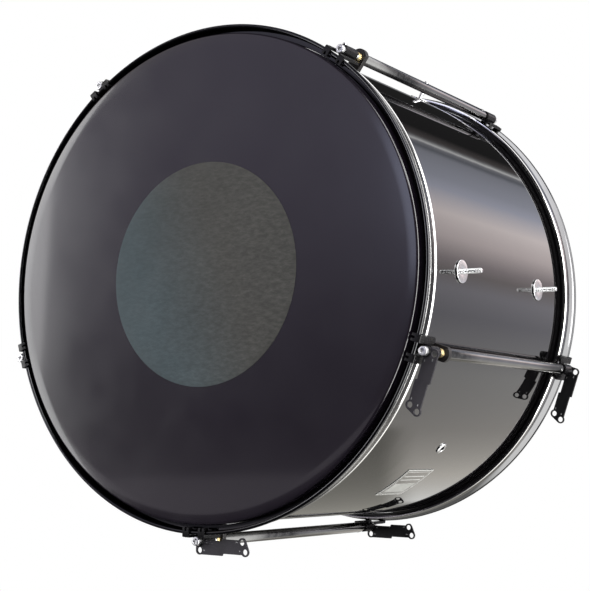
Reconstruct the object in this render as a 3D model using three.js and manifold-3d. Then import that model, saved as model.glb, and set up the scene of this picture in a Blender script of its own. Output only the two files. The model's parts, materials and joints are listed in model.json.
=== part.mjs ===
// A marching bass drum: a lacquered shell between two black heads, each pulled down by a flared
// metal hoop. Five straight tension tubes run from hoop to hoop, and four small carrier plates
// under the tension bolts hang the drum on its harness.
// Millimetres. The drum's axis lies along Y, the front head faces -Y and +Z is up. The origin is
// the centre of the drum, halfway between the two hoop rims.

import * as THREE from 'three';
import { mergeVertices } from 'three/addons/utils/BufferGeometryUtils.js';
import Module from 'manifold-3d';

// Fits and cuts
const fitGap = 0.3;
const cutOverrun = 1;

// Facets round the large rings, the tubes and bolts, and a quarter round
const ringSteps = 60;
const tubeSteps = 16;
const boltSteps = 12;
const roundSteps = 2;
const fullTurn = 2 * Math.PI;

// Shell and heads
const shellDiameter = 558.8;
const shellWall = 6;
const rimSpan = 391.5;
const headRise = 2.2;
const headThickness = 0.5;
const headRound = 3;
const headSkirt = 20;
const patchDiameter = 257;
const patchThickness = 0.3;
const patchGap = 0.1;

// Flesh hoop, the stiff ring at the foot of the head's skirt
const fleshWidth = 3.8;
const fleshDepth = 8.4;

// Hoop: rolled lip, flared band with a bead at its foot, and a shoulder that presses the flesh hoop
const lipWidth = 4.3;
const lipDepth = 4.3;
const lipRound = 0.9;
const lipOverhang = 0.8;
const bandWall = 2;
const bandFlare = 3.4;
const bandClearance = 0.6;
const beadRise = 0.5;
const beadDepth = 4.3;
const hoopDepth = 25.5;
const shoulderClearance = 0.8;
const shoulderTop = 11.2;
const shoulderThickness = 2.1;

// Tension bolts and their washers
const threadDiameter = 6;
const boltHeadDiameter = 10;
const boltHeadHeight = 6;
const boltEdge = 0.4;
const socketWidth = 5;
const socketDepth = 3;
const socketSides = 6;
const washerDiameter = 12.4;
const washerThickness = 1.6;
const boltFace = 2;
const boltLength = 54;

// Yokes, the claws that hold the hoops' rims
const bossDiameter = 13;
const bossClearance = 0.5;
const bossEnd = 31;
const clawSpacing = 21.6;
const clawWidth = 9.6;
const clawThickness = 2.8;
const hookThickness = 2;
const hookReach = 5.5;
const hookTipThickness = 2.6;
const hookBevel = 1.2;
const notchWidth = 2.6;
const notchHeight = 4.2;
const webDepth = 15;
const neckWidth = 9;

// Brass insert, guide flange and tension tube
const insertDiameter = 8.6;
const insertSetback = 7;
const insertNeck = 4;
const insertGrip = 24;
const insertRingRise = 0.7;
const insertRingDepth = 2.2;
const flangeRadius = 10.2;
const flangeWidth = 16.8;
const flangeThickness = 6.2;
const tubeDiameter = 12.7;
const tubeEdge = 0.6;
const tubeNoseDiameter = 10.4;
const tubeNose = 8;
const tubeThreadDepth = 24;

// Carrier plate: u runs along the plate, away from its bolt, and w away from the drum
const plateThickness = 2.5;
const plateLength = 62;
const plateHoleDiameter = 6.5;
const plateEyeRadius = 5;
const plateHoleSpread = 10;
const plateFarHoleShift = 4.5;
const plateFarOffset = -1;
const plateNearInner = -1;
const plateNearOuter = 14.6;
const plateJoggle = 2.4;
const plateJoggleAlong = 30;

// Accessory studs through the shell, the vent and the bare name plate
const studRise = 25.5;
const studWasherDiameter = 25.6;
const studWasherThickness = 1.5;
const studHeadDiameter = 14;
const studHeadThickness = 3.5;
const studSpacing = 200.8;
const studTip = 0.8;
const ventHoleDiameter = 8;
const ventBarrelDiameter = 10;
const ventFlangeDiameter = 15;
const ventFlangeThickness = 1.6;
const ventInnerDiameter = 14;
const ventInnerThickness = 1.2;
const badgeLength = 60;
const badgeArc = 54;
const badgeThickness = 0.8;
const badgeAxialShift = 2.75;

// Angles round the drum, in degrees from +X towards +Z
const rodAngles = { right: -18, upper_right: 54, upper_left: 126, left: 198, bottom: 270 };
const studAngles = { right: 0, upper: 66 };
const ventAngle = -43.2;
const badgeAngle = -56.4;

// Radii that follow from the sizes above, from the shell outwards
const shellRadius = shellDiameter / 2;
const shellInnerRadius = shellRadius - shellWall;
const skirtInnerRadius = shellRadius + fitGap;
const skirtOuterRadius = skirtInnerRadius + headThickness;
const roundCentreRadius = skirtOuterRadius - headRound;
const fleshInnerRadius = skirtOuterRadius + fitGap;
const fleshOuterRadius = fleshInnerRadius + fleshWidth;
const bandFootRadius = fleshOuterRadius + bandClearance + bandWall;
const bandTopRadius = bandFootRadius + bandFlare;
const beadRadius = bandFootRadius + beadRise;
const lipOuterRadius = bandTopRadius + lipOverhang;
const lipInnerRadius = lipOuterRadius - lipWidth;
const shoulderInnerRadius = skirtOuterRadius + shoulderClearance;
const rodRadius = lipOuterRadius + bossClearance + bossDiameter / 2;

// Depths below a rim's plane, towards the middle of the drum
const halfSpan = rimSpan / 2;
const headUnderside = headThickness - headRise;
const shellEdge = headUnderside + fitGap;
const bandTop = lipDepth + lipOverhang;
const beadTop = hoopDepth - beadDepth;
const shoulderFoot = shoulderTop + shoulderThickness;
const fleshTop = shoulderFoot + fitGap;
const boltSeat = boltFace + boltHeadHeight;
const frontPlateFace = boltSeat + fitGap + washerThickness + fitGap;
const rearPlateFace = boltSeat + fitGap;
const insertFace = bossEnd + insertSetback;
const flangeFace = insertFace + insertNeck;
const tubeFrontFace = flangeFace + flangeThickness + fitGap;
const tubeRearFace = bossEnd + fitGap;
const boreRadius = threadDiameter / 2 + fitGap;
const insertBoreRadius = insertDiameter / 2 + fitGap;

// Colours and finishes
const finishes = {
  lacquer: { color: 0x1b1b1f, roughness: 0.08, metalness: 0 },
  head: { color: 0x3f3c44, roughness: 0.3, metalness: 0 },
  patch: { color: 0x353c3f, roughness: 0.7, metalness: 0 },
  polished: { color: 0xc9c9cb, roughness: 0.15, metalness: 1 },
  blackened: { color: 0x1c1c1e, roughness: 0.5, metalness: 0.3 },
  chromed: { color: 0xe6e6e6, roughness: 0.1, metalness: 1 },
  brass: { color: 0xc2a25a, roughness: 0.3, metalness: 1 },
  nylon: { color: 0x19181a, roughness: 0.6, metalness: 0 },
  anodised: { color: 0x3a3a3c, roughness: 0.35, metalness: 0.8 },
};

const wasm = await Module();
wasm.setup();

// A closed three.js geometry as a solid that can be joined and cut
function solidOf(geometry) {
  const bare = new THREE.BufferGeometry();
  bare.setAttribute('position', geometry.getAttribute('position'));
  bare.setIndex(geometry.index);
  const welded = mergeVertices(bare);
  const corners = [];
  for (let i = 0; i < welded.index.count; i += 3) {
    const [a, b, c] = [0, 1, 2].map((k) => welded.index.getX(i + k));
    if (a !== b && b !== c && c !== a) corners.push(a, b, c);
  }
  return new wasm.Manifold(new wasm.Mesh({
    numProp: 3,
    vertProperties: welded.getAttribute('position').array,
    triVerts: Uint32Array.from(corners),
  }));
}

// A joined or cut solid as a three.js geometry
function geometryOf(solid) {
  const mesh = solid.getMesh();
  const geometry = new THREE.BufferGeometry();
  geometry.setAttribute('position', new THREE.BufferAttribute(mesh.vertProperties, 3));
  geometry.setIndex(new THREE.BufferAttribute(mesh.triVerts, 1));
  geometry.computeVertexNormals();
  return geometry;
}

function radians(degrees) {
  return THREE.MathUtils.degToRad(degrees);
}

// A solid of revolution about Y. The profile runs anticlockwise, as [radius, y]
function turned(profile, steps) {
  return new THREE.LatheGeometry(profile.map(([r, y]) => new THREE.Vector2(r, y)), steps);
}

// The same for a ring, whose profile closes on itself
function ring(profile, steps) {
  return turned([...profile, profile[0]], steps);
}

// Points of a round about [r, y], between two angles in degrees
function roundPoints(r, y, radius, from, to) {
  const points = [];
  for (let i = 0; i <= roundSteps; i += 1) {
    const angle = radians(from + ((to - from) * i) / roundSteps);
    points.push([r + radius * Math.cos(angle), y + radius * Math.sin(angle)]);
  }
  return points;
}

// A round bar along Y between two depths, for joining or cutting
function bar(radius, from, to, steps, x = 0, z = 0) {
  const geometry = new THREE.CylinderGeometry(radius, radius, to - from, steps);
  geometry.translate(x, (from + to) / 2, z);
  return solidOf(geometry);
}

// A block between two corners
function block([x0, y0, z0], [x1, y1, z1]) {
  const geometry = new THREE.BoxGeometry(x1 - x0, y1 - y0, z1 - z0);
  geometry.translate((x0 + x1) / 2, (y0 + y1) / 2, (z0 + z1) / 2);
  return solidOf(geometry);
}

function piece(name, geometry, finish, parent) {
  const mesh = new THREE.Mesh(geometry, new THREE.MeshStandardMaterial(finish));
  mesh.name = name;
  parent.add(mesh);
  return mesh;
}

// The height, above the rod's centre line, at which a flat of this half width meets a circle
function flatHeight(radius, halfWidth) {
  return Math.sqrt(radius ** 2 - halfWidth ** 2) - rodRadius;
}

// Shell with rounded bearing edges, bored for the studs and the vent
function shellGeometry() {
  const edge = halfSpan - shellEdge;
  const edgeRound = shellRadius - roundCentreRadius;
  const bevelFoot = edge - (roundCentreRadius - shellInnerRadius);
  const profile = [
    ...roundPoints(roundCentreRadius, edgeRound - edge, edgeRound, -90, 0),
    ...roundPoints(roundCentreRadius, edge - edgeRound, edgeRound, 0, 90),
    [shellInnerRadius, bevelFoot],
    [shellInnerRadius, -bevelFoot],
  ];
  let shell = solidOf(ring(profile, ringSteps));
  const drill = (degrees, y, radius, steps) => {
    const geometry = new THREE.CylinderGeometry(radius, radius, shellWall * 2 + cutOverrun * 2, steps);
    geometry.rotateX(Math.PI / 2);
    geometry.translate(0, y, shellRadius - shellWall / 2);
    geometry.rotateY(Math.PI / 2 - radians(degrees));
    shell = shell.subtract(solidOf(geometry));
  };
  for (const degrees of Object.values(studAngles)) {
    for (const side of [-1, 1]) drill(degrees, (side * studSpacing) / 2, boreRadius, boltSteps);
  }
  drill(ventAngle, 0, ventBarrelDiameter / 2 + fitGap, tubeSteps);
  return geometryOf(shell);
}

// Head: a flat film that turns down over the shell into a short skirt
function headGeometry() {
  const centre = headRound - headRise;
  return turned([
    [0, -headRise],
    ...roundPoints(roundCentreRadius, centre, headRound, -90, 0),
    [skirtOuterRadius, headSkirt],
    [skirtInnerRadius, headSkirt],
    ...roundPoints(roundCentreRadius, centre, headRound - headThickness, 0, -90),
    [0, headUnderside],
  ], ringSteps);
}

function patchGeometry() {
  const face = -headRise - patchGap;
  return turned([
    [0, face - patchThickness],
    [patchDiameter / 2, face - patchThickness],
    [patchDiameter / 2, face],
    [0, face],
  ], ringSteps);
}

function fleshHoopGeometry() {
  return ring([
    [fleshInnerRadius, fleshTop],
    [fleshOuterRadius, fleshTop],
    [fleshOuterRadius, fleshTop + fleshDepth],
    [fleshInnerRadius, fleshTop + fleshDepth],
  ], ringSteps);
}

function hoopGeometry() {
  const bandInnerAt = (depth) => {
    const share = (depth - bandTop) / (beadTop - bandTop);
    return bandTopRadius - bandFlare * share - bandWall;
  };
  return ring([
    [lipInnerRadius, lipRound],
    [lipInnerRadius + lipRound, 0],
    [lipOuterRadius - lipRound, 0],
    [lipOuterRadius, lipRound],
    [lipOuterRadius, lipDepth],
    [bandTopRadius, bandTop],
    [bandFootRadius, beadTop],
    [beadRadius, beadTop + beadRise],
    [beadRadius, hoopDepth],
    [bandFootRadius - bandWall, hoopDepth],
    [bandInnerAt(shoulderFoot), shoulderFoot],
    [shoulderInnerRadius, shoulderFoot],
    [shoulderInnerRadius, shoulderTop],
    [bandInnerAt(shoulderTop), shoulderTop],
    [bandInnerAt(bandTop), bandTop],
    [lipInnerRadius, lipDepth],
  ], ringSteps);
}

// Socket screw
function boltGeometry() {
  const headRadius = boltHeadDiameter / 2;
  const threadRadius = threadDiameter / 2;
  const tip = boltSeat + boltLength;
  const screw = turned([
    [0, boltFace],
    [headRadius - boltEdge, boltFace],
    [headRadius, boltFace + boltEdge],
    [headRadius, boltSeat],
    [threadRadius, boltSeat],
    [threadRadius, tip - boltEdge],
    [threadRadius - boltEdge, tip],
    [0, tip],
  ], boltSteps);
  const socketRadius = socketWidth / 2 / Math.cos(Math.PI / socketSides);
  const socket = bar(socketRadius, boltFace - cutOverrun, boltFace + socketDepth, socketSides);
  return geometryOf(solidOf(screw).subtract(socket));
}

function washerGeometry() {
  const top = boltSeat + fitGap;
  return ring([
    [boreRadius, top],
    [washerDiameter / 2, top],
    [washerDiameter / 2, top + washerThickness],
    [boreRadius, top + washerThickness],
  ], boltSteps);
}

// Yoke: a bored boss on a web that carries two claws, each hooked over the hoop's rolled lip
function yokeGeometry(bossStart) {
  const outer = clawSpacing / 2 + clawWidth / 2;
  const foot = lipOuterRadius + fitGap - rodRadius;
  const top = foot + clawThickness;
  const lipFacet = lipInnerRadius * Math.cos(fullTurn / 2 / ringSteps);
  const tipTop = flatHeight(lipFacet, outer) - fitGap;
  const tipFoot = tipTop - hookTipThickness;
  const webStart = bossEnd - webDepth;
  const claw = new THREE.Shape([
    [bossEnd, foot],
    [bossEnd, top],
    [hookBevel - fitGap - hookThickness, top],
    [-fitGap - hookThickness, top - hookBevel],
    [-fitGap - hookThickness, tipFoot],
    [hookReach, tipFoot],
    [hookReach, tipTop],
    [-fitGap, tipTop],
    [-fitGap, foot],
  ].map(([y, z]) => new THREE.Vector2(y, z)));
  const clawBlank = new THREE.ExtrudeGeometry(claw, { depth: clawWidth, bevelEnabled: false });
  const upright = new THREE.Matrix4().makeBasis(
    new THREE.Vector3(0, 1, 0),
    new THREE.Vector3(0, 0, 1),
    new THREE.Vector3(1, 0, 0),
  );
  clawBlank.applyMatrix4(upright);
  clawBlank.translate(-clawWidth / 2, 0, 0);
  let yoke = bar(bossDiameter / 2, bossStart, bossEnd, tubeSteps);
  yoke = yoke.add(block([-outer, webStart, foot], [outer, bossEnd, top]));
  yoke = yoke.add(block([-neckWidth / 2, webStart, foot], [neckWidth / 2, bossEnd, 0]));
  for (const side of [-1, 1]) {
    const middle = (side * clawSpacing) / 2;
    yoke = yoke.add(solidOf(clawBlank.clone().translate(middle, 0, 0)));
    yoke = yoke.subtract(block(
      [middle - notchWidth / 2, -fitGap - hookThickness - cutOverrun, tipFoot - cutOverrun],
      [middle + notchWidth / 2, hookReach + cutOverrun, tipFoot + notchHeight],
    ));
  }
  const bore = bar(boreRadius, bossStart - cutOverrun, bossEnd + cutOverrun, boltSteps);
  return geometryOf(yoke.subtract(bore));
}

// Brass insert: a threaded sleeve in the tube's mouth with a raised ring on its bare neck. The
// bolt's thread runs bare from the yoke's boss to the sleeve
function insertGeometry() {
  const radius = insertDiameter / 2;
  const ringRadius = radius + insertRingRise;
  const end = tubeFrontFace + insertGrip;
  const ringEnd = flangeFace - fitGap;
  const ringStart = ringEnd - insertRingDepth;
  return ring([
    [boreRadius, insertFace],
    [radius, insertFace],
    [radius, ringStart],
    [ringRadius, ringStart],
    [ringRadius, ringEnd],
    [radius, ringEnd],
    [radius, end],
    [boreRadius, end],
  ], boltSteps);
}

// Guide flange: a thick round-topped plate that stands the tube's mouth off the shell
function flangeGeometry() {
  const half = flangeWidth / 2;
  const foot = shellRadius + fitGap - rodRadius;
  const corner = Math.acos(half / flangeRadius);
  const outline = new THREE.Shape();
  outline.moveTo(-half, foot);
  outline.lineTo(half, foot);
  outline.absarc(0, 0, flangeRadius, corner, fullTurn / 2 - corner, false);
  outline.closePath();
  const hole = new THREE.Path();
  hole.absarc(0, 0, insertBoreRadius, 0, fullTurn, true);
  outline.holes.push(hole);
  const options = { depth: flangeThickness, bevelEnabled: false, curveSegments: boltSteps };
  const geometry = new THREE.ExtrudeGeometry(outline, options);
  geometry.rotateX(fullTurn / 4);
  geometry.translate(0, flangeFace + flangeThickness, 0);
  return geometry;
}

// Tension tube: bored for the insert in front, threaded at the rear, with a turned nose there
function tubeGeometry() {
  const radius = tubeDiameter / 2;
  const front = tubeFrontFace - halfSpan;
  const rear = halfSpan - tubeRearFace;
  return ring([
    [insertBoreRadius, front],
    [radius, front],
    [radius, rear - tubeNose - tubeEdge],
    [radius - tubeEdge, rear - tubeNose],
    [tubeNoseDiameter / 2, rear - tubeNose],
    [tubeNoseDiameter / 2, rear],
    [boreRadius, rear],
    [boreRadius, rear - tubeThreadDepth],
    [insertBoreRadius, rear - tubeThreadDepth],
  ], tubeSteps);
}

// Carrier plate with four eyes. Its bolt's eye is the one at [0, 0], and side is 1 or -1 for the
// way that it points along x
function plateGeometry(face, side) {
  const farInner = plateNearInner - plateJoggle;
  const farOuter = plateNearOuter - plateJoggle;
  const eyes = [
    [0, 0],
    [0, plateHoleSpread],
    [plateLength - plateFarHoleShift, plateFarOffset],
    [plateLength, plateHoleSpread + plateFarOffset],
  ];
  const back = face + plateThickness;
  const slab = (u0, w0, u1, w1) => block(
    [Math.min(side * u0, side * u1), face, w0],
    [Math.max(side * u0, side * u1), back, w1],
  );
  let plate = slab(0, plateNearInner, plateJoggleAlong + plateJoggle / 2, plateNearOuter);
  plate = plate.add(slab(-plateEyeRadius, 0, 0, plateHoleSpread));
  plate = plate.add(slab(plateJoggleAlong, farInner, plateLength - plateFarHoleShift, farOuter));
  for (const [u, w] of eyes) {
    plate = plate.add(bar(plateEyeRadius, face, back, tubeSteps, side * u, w));
  }
  // The straight edge between the two far eyes
  const [near, far] = [eyes[2], eyes[3]];
  const length = Math.hypot(far[0] - near[0], far[1] - near[1]);
  const edgeU = ((far[1] - near[1]) / length) * plateEyeRadius;
  const edgeW = (-(far[0] - near[0]) / length) * plateEyeRadius;
  const corners = [near, [near[0] + edgeU, near[1] + edgeW], [far[0] + edgeU, far[1] + edgeW], far];
  const edge = new THREE.Shape(corners.map(([u, w]) => new THREE.Vector2(side * u, w)));
  const edgeGeometry = new THREE.ExtrudeGeometry(edge, { depth: plateThickness, bevelEnabled: false });
  edgeGeometry.rotateX(fullTurn / 4);
  edgeGeometry.translate(0, back, 0);
  plate = plate.add(solidOf(edgeGeometry));
  const holeRadius = Math.max(plateHoleDiameter / 2, boreRadius);
  for (const [u, w] of eyes) {
    plate = plate.subtract(bar(holeRadius, face - cutOverrun, back + cutOverrun, boltSteps, side * u, w));
  }
  return geometryOf(plate);
}

// Accessory stud: a headed screw that stands out through the shell. Heights are from the shell's
// outer surface, along the stud
function studGeometry() {
  const innerFace = shellInnerRadius * Math.cos(fullTurn / 2 / ringSteps) - shellRadius - fitGap;
  const radius = threadDiameter / 2;
  return turned([
    [0, innerFace - studHeadThickness],
    [studHeadDiameter / 2, innerFace - studHeadThickness],
    [studHeadDiameter / 2, innerFace],
    [radius, innerFace],
    [radius, studRise - studTip],
    [radius - studTip, studRise],
    [0, studRise],
  ], boltSteps);
}

function studWasherGeometry() {
  return ring([
    [boreRadius, fitGap],
    [studWasherDiameter / 2, fitGap],
    [studWasherDiameter / 2, fitGap + studWasherThickness],
    [boreRadius, fitGap + studWasherThickness],
  ], tubeSteps);
}

// Vent eyelet, flared over both faces of the shell's wall
function ventGeometry() {
  const innerFace = shellInnerRadius * Math.cos(fullTurn / 2 / ringSteps) - shellRadius - fitGap;
  const top = fitGap + ventFlangeThickness;
  return ring([
    [ventHoleDiameter / 2, innerFace - ventInnerThickness],
    [ventInnerDiameter / 2, innerFace - ventInnerThickness],
    [ventInnerDiameter / 2, innerFace],
    [ventBarrelDiameter / 2, innerFace],
    [ventBarrelDiameter / 2, fitGap],
    [ventFlangeDiameter / 2, fitGap],
    [ventFlangeDiameter / 2 - ventFlangeThickness / 2, top],
    [ventHoleDiameter / 2, top],
  ], tubeSteps);
}

// Bare name plate, bent to the shell
function badgeGeometry() {
  const inner = shellRadius + fitGap;
  const outer = inner + badgeThickness;
  const half = badgeArc / 2 / shellRadius;
  const middle = radians(badgeAngle);
  const outline = new THREE.Shape();
  outline.absarc(0, 0, outer, middle - half, middle + half, false);
  outline.absarc(0, 0, inner, middle + half, middle - half, true);
  const options = { depth: badgeLength, bevelEnabled: false, curveSegments: roundSteps * 2 };
  const geometry = new THREE.ExtrudeGeometry(outline, options);
  geometry.rotateX(fullTurn / 4);
  geometry.translate(0, badgeLength / 2 + badgeAxialShift, 0);
  return geometry;
}

// The two rim planes. Inside each group y is the depth below the rim's plane
const drum = new THREE.Group();
drum.name = 'marching_bass_drum';
const rims = { front: new THREE.Group(), rear: new THREE.Group() };
rims.front.position.y = -halfSpan;
rims.rear.position.y = halfSpan;
rims.rear.rotation.z = Math.PI;
for (const [end, rim] of Object.entries(rims)) {
  drum.add(rim);
  piece(`${end}_head`, headGeometry(), finishes.head, rim);
  piece(`${end}_head_patch`, patchGeometry(), finishes.patch, rim);
  piece(`${end}_flesh_hoop`, fleshHoopGeometry(), finishes.blackened, rim);
  piece(`${end}_hoop`, hoopGeometry(), finishes.polished, rim);
}
piece('shell', shellGeometry(), finishes.lacquer, drum);

// Tension rods. In each group z points away from the drum's axis, and the bolt's eye of a carrier
// plate is on the rod's centre line
const plateSides = { right: 1, bottom: -1 };
for (const [place, degrees] of Object.entries(rodAngles)) {
  const arm = new THREE.Group();
  arm.rotation.y = Math.PI / 2 - radians(degrees);
  drum.add(arm);
  const side = plateSides[place];
  const stack = side ? plateThickness + fitGap : 0;

  const front = new THREE.Group();
  front.position.set(0, -halfSpan, rodRadius);
  arm.add(front);
  const frontBoss = side ? frontPlateFace + stack : boltSeat + fitGap;
  piece(`front_bolt_${place}`, boltGeometry(), finishes.chromed, front);
  piece(`front_yoke_${place}`, yokeGeometry(frontBoss), finishes.blackened, front);
  piece(`tube_insert_${place}`, insertGeometry(), finishes.brass, front);
  piece(`tube_flange_${place}`, flangeGeometry(), finishes.nylon, front);

  const tube = piece(`tension_tube_${place}`, tubeGeometry(), finishes.anodised, arm);
  tube.position.z = rodRadius;

  const rear = new THREE.Group();
  rear.position.set(0, halfSpan, rodRadius);
  rear.rotation.z = Math.PI;
  arm.add(rear);
  const rearBoss = rearPlateFace + stack;
  piece(`rear_bolt_${place}`, boltGeometry(), finishes.chromed, rear);
  piece(`rear_yoke_${place}`, yokeGeometry(rearBoss), finishes.blackened, rear);

  if (side) {
    const frontPlate = plateGeometry(frontPlateFace, side);
    const rearPlate = plateGeometry(rearPlateFace, -side);
    piece(`front_washer_${place}`, washerGeometry(), finishes.blackened, front);
    piece(`front_carrier_plate_${place}`, frontPlate, finishes.blackened, front);
    piece(`rear_carrier_plate_${place}`, rearPlate, finishes.blackened, rear);
  }
}

// Studs in pairs, the vent and the name plate
for (const [place, degrees] of Object.entries(studAngles)) {
  for (const [end, side] of [['front', -1], ['rear', 1]]) {
    const seat = new THREE.Group();
    seat.rotation.y = Math.PI / 2 - radians(degrees);
    drum.add(seat);
    const stud = piece(`${end}_stud_${place}`, studGeometry(), finishes.chromed, seat);
    const washer = piece(`${end}_stud_washer_${place}`, studWasherGeometry(), finishes.chromed, seat);
    for (const mesh of [stud, washer]) {
      mesh.rotation.x = Math.PI / 2;
      mesh.position.set(0, (side * studSpacing) / 2, shellRadius);
    }
  }
}
const ventSeat = new THREE.Group();
ventSeat.rotation.y = Math.PI / 2 - radians(ventAngle);
drum.add(ventSeat);
const vent = piece('vent_eyelet', ventGeometry(), finishes.chromed, ventSeat);
vent.rotation.x = Math.PI / 2;
vent.position.z = shellRadius;
piece('name_plate', badgeGeometry(), finishes.blackened, drum);

export default drum;
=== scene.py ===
"""The looks of a marching bass drum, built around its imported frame.

A lacquered shell, two black heads, polished hoops, five tension tubes with their yokes and bolts,
four carrier plates, two pairs of accessory studs, the vent and a bare name plate. Lengths are in
metres. The drum's axis lies along Y, the front head faces -Y and +Z is up.
"""

import json
import math

import bmesh
import bpy
from mathutils import Matrix, Vector


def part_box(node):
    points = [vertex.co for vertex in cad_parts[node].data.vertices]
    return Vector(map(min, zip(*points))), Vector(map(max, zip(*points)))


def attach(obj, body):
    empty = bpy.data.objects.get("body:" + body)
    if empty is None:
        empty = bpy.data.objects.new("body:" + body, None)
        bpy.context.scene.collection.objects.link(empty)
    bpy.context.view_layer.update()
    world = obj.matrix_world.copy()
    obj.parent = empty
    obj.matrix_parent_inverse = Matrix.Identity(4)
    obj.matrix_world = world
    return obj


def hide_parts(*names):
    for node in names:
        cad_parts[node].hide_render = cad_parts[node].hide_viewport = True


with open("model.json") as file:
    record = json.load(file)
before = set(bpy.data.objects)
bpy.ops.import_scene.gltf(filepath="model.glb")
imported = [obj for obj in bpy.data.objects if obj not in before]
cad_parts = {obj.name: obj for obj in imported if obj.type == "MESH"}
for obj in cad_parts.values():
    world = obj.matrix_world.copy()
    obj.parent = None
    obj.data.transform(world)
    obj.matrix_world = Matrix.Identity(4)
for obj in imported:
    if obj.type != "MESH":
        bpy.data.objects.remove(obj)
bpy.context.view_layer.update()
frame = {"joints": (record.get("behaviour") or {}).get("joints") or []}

bl_info = {
    "name": "Marching Bass Drum",
    "version": (1, 0, 0),
    "blender": (4, 5, 0),
    "location": "View3D > Sidebar > Drum",
    "description": "Builds the finished pieces of a marching bass drum around its frame",
    "category": "Object",
}

MM = 0.001
FULL_TURN = 2 * math.pi
QUARTER_TURN = math.pi / 2

# Facets round the large rings, the tubes, the bolts and what is smaller, and along a small fillet
RING_STEPS = 288
TUBE_STEPS = 48
BOLT_STEPS = 40
EYE_STEPS = 32
PIN_STEPS = 24
RIB_STEPS = 12
SOCKET_SIDES = 6
FILLET_STEPS = 4

# How near a point counts as on the axis, as the same point and as on the shell's skin, and what
# shares of a face's normal may run along the axis and must run outwards for a face of that skin
AXIS_SLACK = 1e-9
MERGE_SLACK = 1e-7
SKIN_SLACK = 1e-5
LEVEL_SHARE = 1e-3
OUTWARD_SHARE = 0.9

# Edges that bend by more than this stay sharp
SHARP_EDGE = math.radians(38)

# Places that follow from the frame
SHELL_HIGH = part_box("shell")[1]
HOOP_LOW, HOOP_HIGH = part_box("front_hoop")
HEAD_LOW, HEAD_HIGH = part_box("front_head")
PATCH_LOW, PATCH_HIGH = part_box("front_head_patch")
FLESH_LOW, FLESH_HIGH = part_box("front_flesh_hoop")
SHELL_RADIUS = SHELL_HIGH.x
HALF_SPAN = -HOOP_LOW.y
LIP_RADIUS = HOOP_HIGH.x
HOOP_DEPTH = HOOP_HIGH.y - HOOP_LOW.y
SKIRT_RADIUS = HEAD_HIGH.x
HEAD_FACE = HEAD_LOW.y + HALF_SPAN
SKIRT_FOOT = HEAD_HIGH.y + HALF_SPAN
PATCH_RADIUS = PATCH_HIGH.x

# The yokes' clearance and bore, and where the lip under their claws ends on its inner side
YOKE_GAP = 0.3 * MM
YOKE_BORE = 3.3 * MM
LIP_INNER = LIP_RADIUS - 4.3 * MM

ENDS = ("front", "rear")
STUD_PAIRS = ("right", "upper")


def joints_between(start, end):
    """The frame's joints whose names start and end so, by the place named in between."""
    return {
        joint["name"][len(start):-len(end)]: joint
        for joint in frame["joints"]
        if joint["name"].startswith(start)
    }


ROD_JOINTS = joints_between("front_bolt_", "_turn")
PLATE_JOINTS = joints_between("front_carrier_plate_", "_swivel")
ROD_RADIUS = math.hypot(*ROD_JOINTS["right"]["pos_m"][::2])


def size(name, description, default):
    """A length property, whose default is given in millimetres."""
    return bpy.props.FloatProperty(
        name=name, description=description, default=default * MM, unit="LENGTH", precision=5
    )


def colour(name, description, default):
    return bpy.props.FloatVectorProperty(
        name=name, description=description, default=default, size=4, subtype="COLOR", min=0, max=1
    )


def share(name, description, default):
    return bpy.props.FloatProperty(
        name=name, description=description, default=default, subtype="FACTOR", min=0, max=1
    )


def angle(name, description, default):
    """An angle property, whose default is given in degrees."""
    return bpy.props.FloatProperty(
        name=name, description=description, default=math.radians(default), subtype="ANGLE"
    )


class ShellSizes(bpy.types.PropertyGroup):
    wall: size("Wall", "Thickness of the shell", 6)
    edge_round: size("Edge round", "Radius of the bearing edge", 2.2)
    lacquer: colour("Lacquer", "Colour under the shell's gloss", (0.006, 0.0055, 0.006, 1))
    lacquer_roughness: share("Lacquer roughness", "Roughness of the shell's gloss", 0.035)


class HeadSizes(bpy.types.PropertyGroup):
    film: size("Film", "Thickness of the head", 0.5)
    collar: size("Collar", "Radius of the round at the head's edge", 3)
    film_colour: colour("Film colour", "Colour of the head", (0.0115, 0.0085, 0.0140, 1))
    film_roughness: share("Film roughness", "Roughness of the head", 0.17)
    # The patch's two colours and the drift between them are a painted sheen on one grained film
    patch_low: colour("Patch low", "Colour of the patch's lower left", (0.048, 0.070, 0.080, 1))
    patch_high: colour("Patch high", "Colour of the patch's upper right", (0.050, 0.049, 0.045, 1))
    patch_roughness: share("Patch roughness", "Roughness of the grained patch", 0.62)
    patch_edge: size("Patch edge", "Fillet of the patch's edge", 0.12)


class HoopSizes(bpy.types.PropertyGroup):
    lip_width: size("Lip width", "Width of the rolled lip", 4.3)
    lip_depth: size("Lip depth", "Depth of the rolled lip", 4.3)
    lip_overhang: size("Lip overhang", "How far the lip stands over the band", 0.8)
    wall: size("Band wall", "Thickness of the band", 2)
    flare: size("Band flare", "How much wider the band is at its top", 3.4)
    bead_rise: size("Bead rise", "How far the round foot bead stands out", 0.9)
    bead_depth: size("Bead depth", "Depth of the foot bead", 4.3)
    shoulder_top: size("Shoulder top", "Depth of the shoulder that presses the head", 11.2)
    shoulder_thickness: size("Shoulder thickness", "Thickness of that shoulder", 2.1)
    metal: colour("Metal", "Colour of the rear hoop's plated band", (0.32, 0.32, 0.33, 1))
    # The front band is the rear band's plating darkened: painted shade
    front_band_painted_shade: colour("Front metal", "Colour of the front hoop's darker band", (0.07, 0.07, 0.073, 1))
    lip_metal: colour("Lip metal", "Colour of the darkened lip", (0.06, 0.06, 0.063, 1))
    bead_metal: colour("Bead metal", "Colour of the polished foot bead", (0.80, 0.79, 0.78, 1))
    metal_roughness: share("Metal roughness", "Roughness of the hoops", 0.11)
    black: colour("Blackened ring", "Colour of the head's stiff ring", (0.008, 0.008, 0.009, 1))
    black_roughness: share("Blackened roughness", "Roughness of the stiff ring", 0.42)


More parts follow.
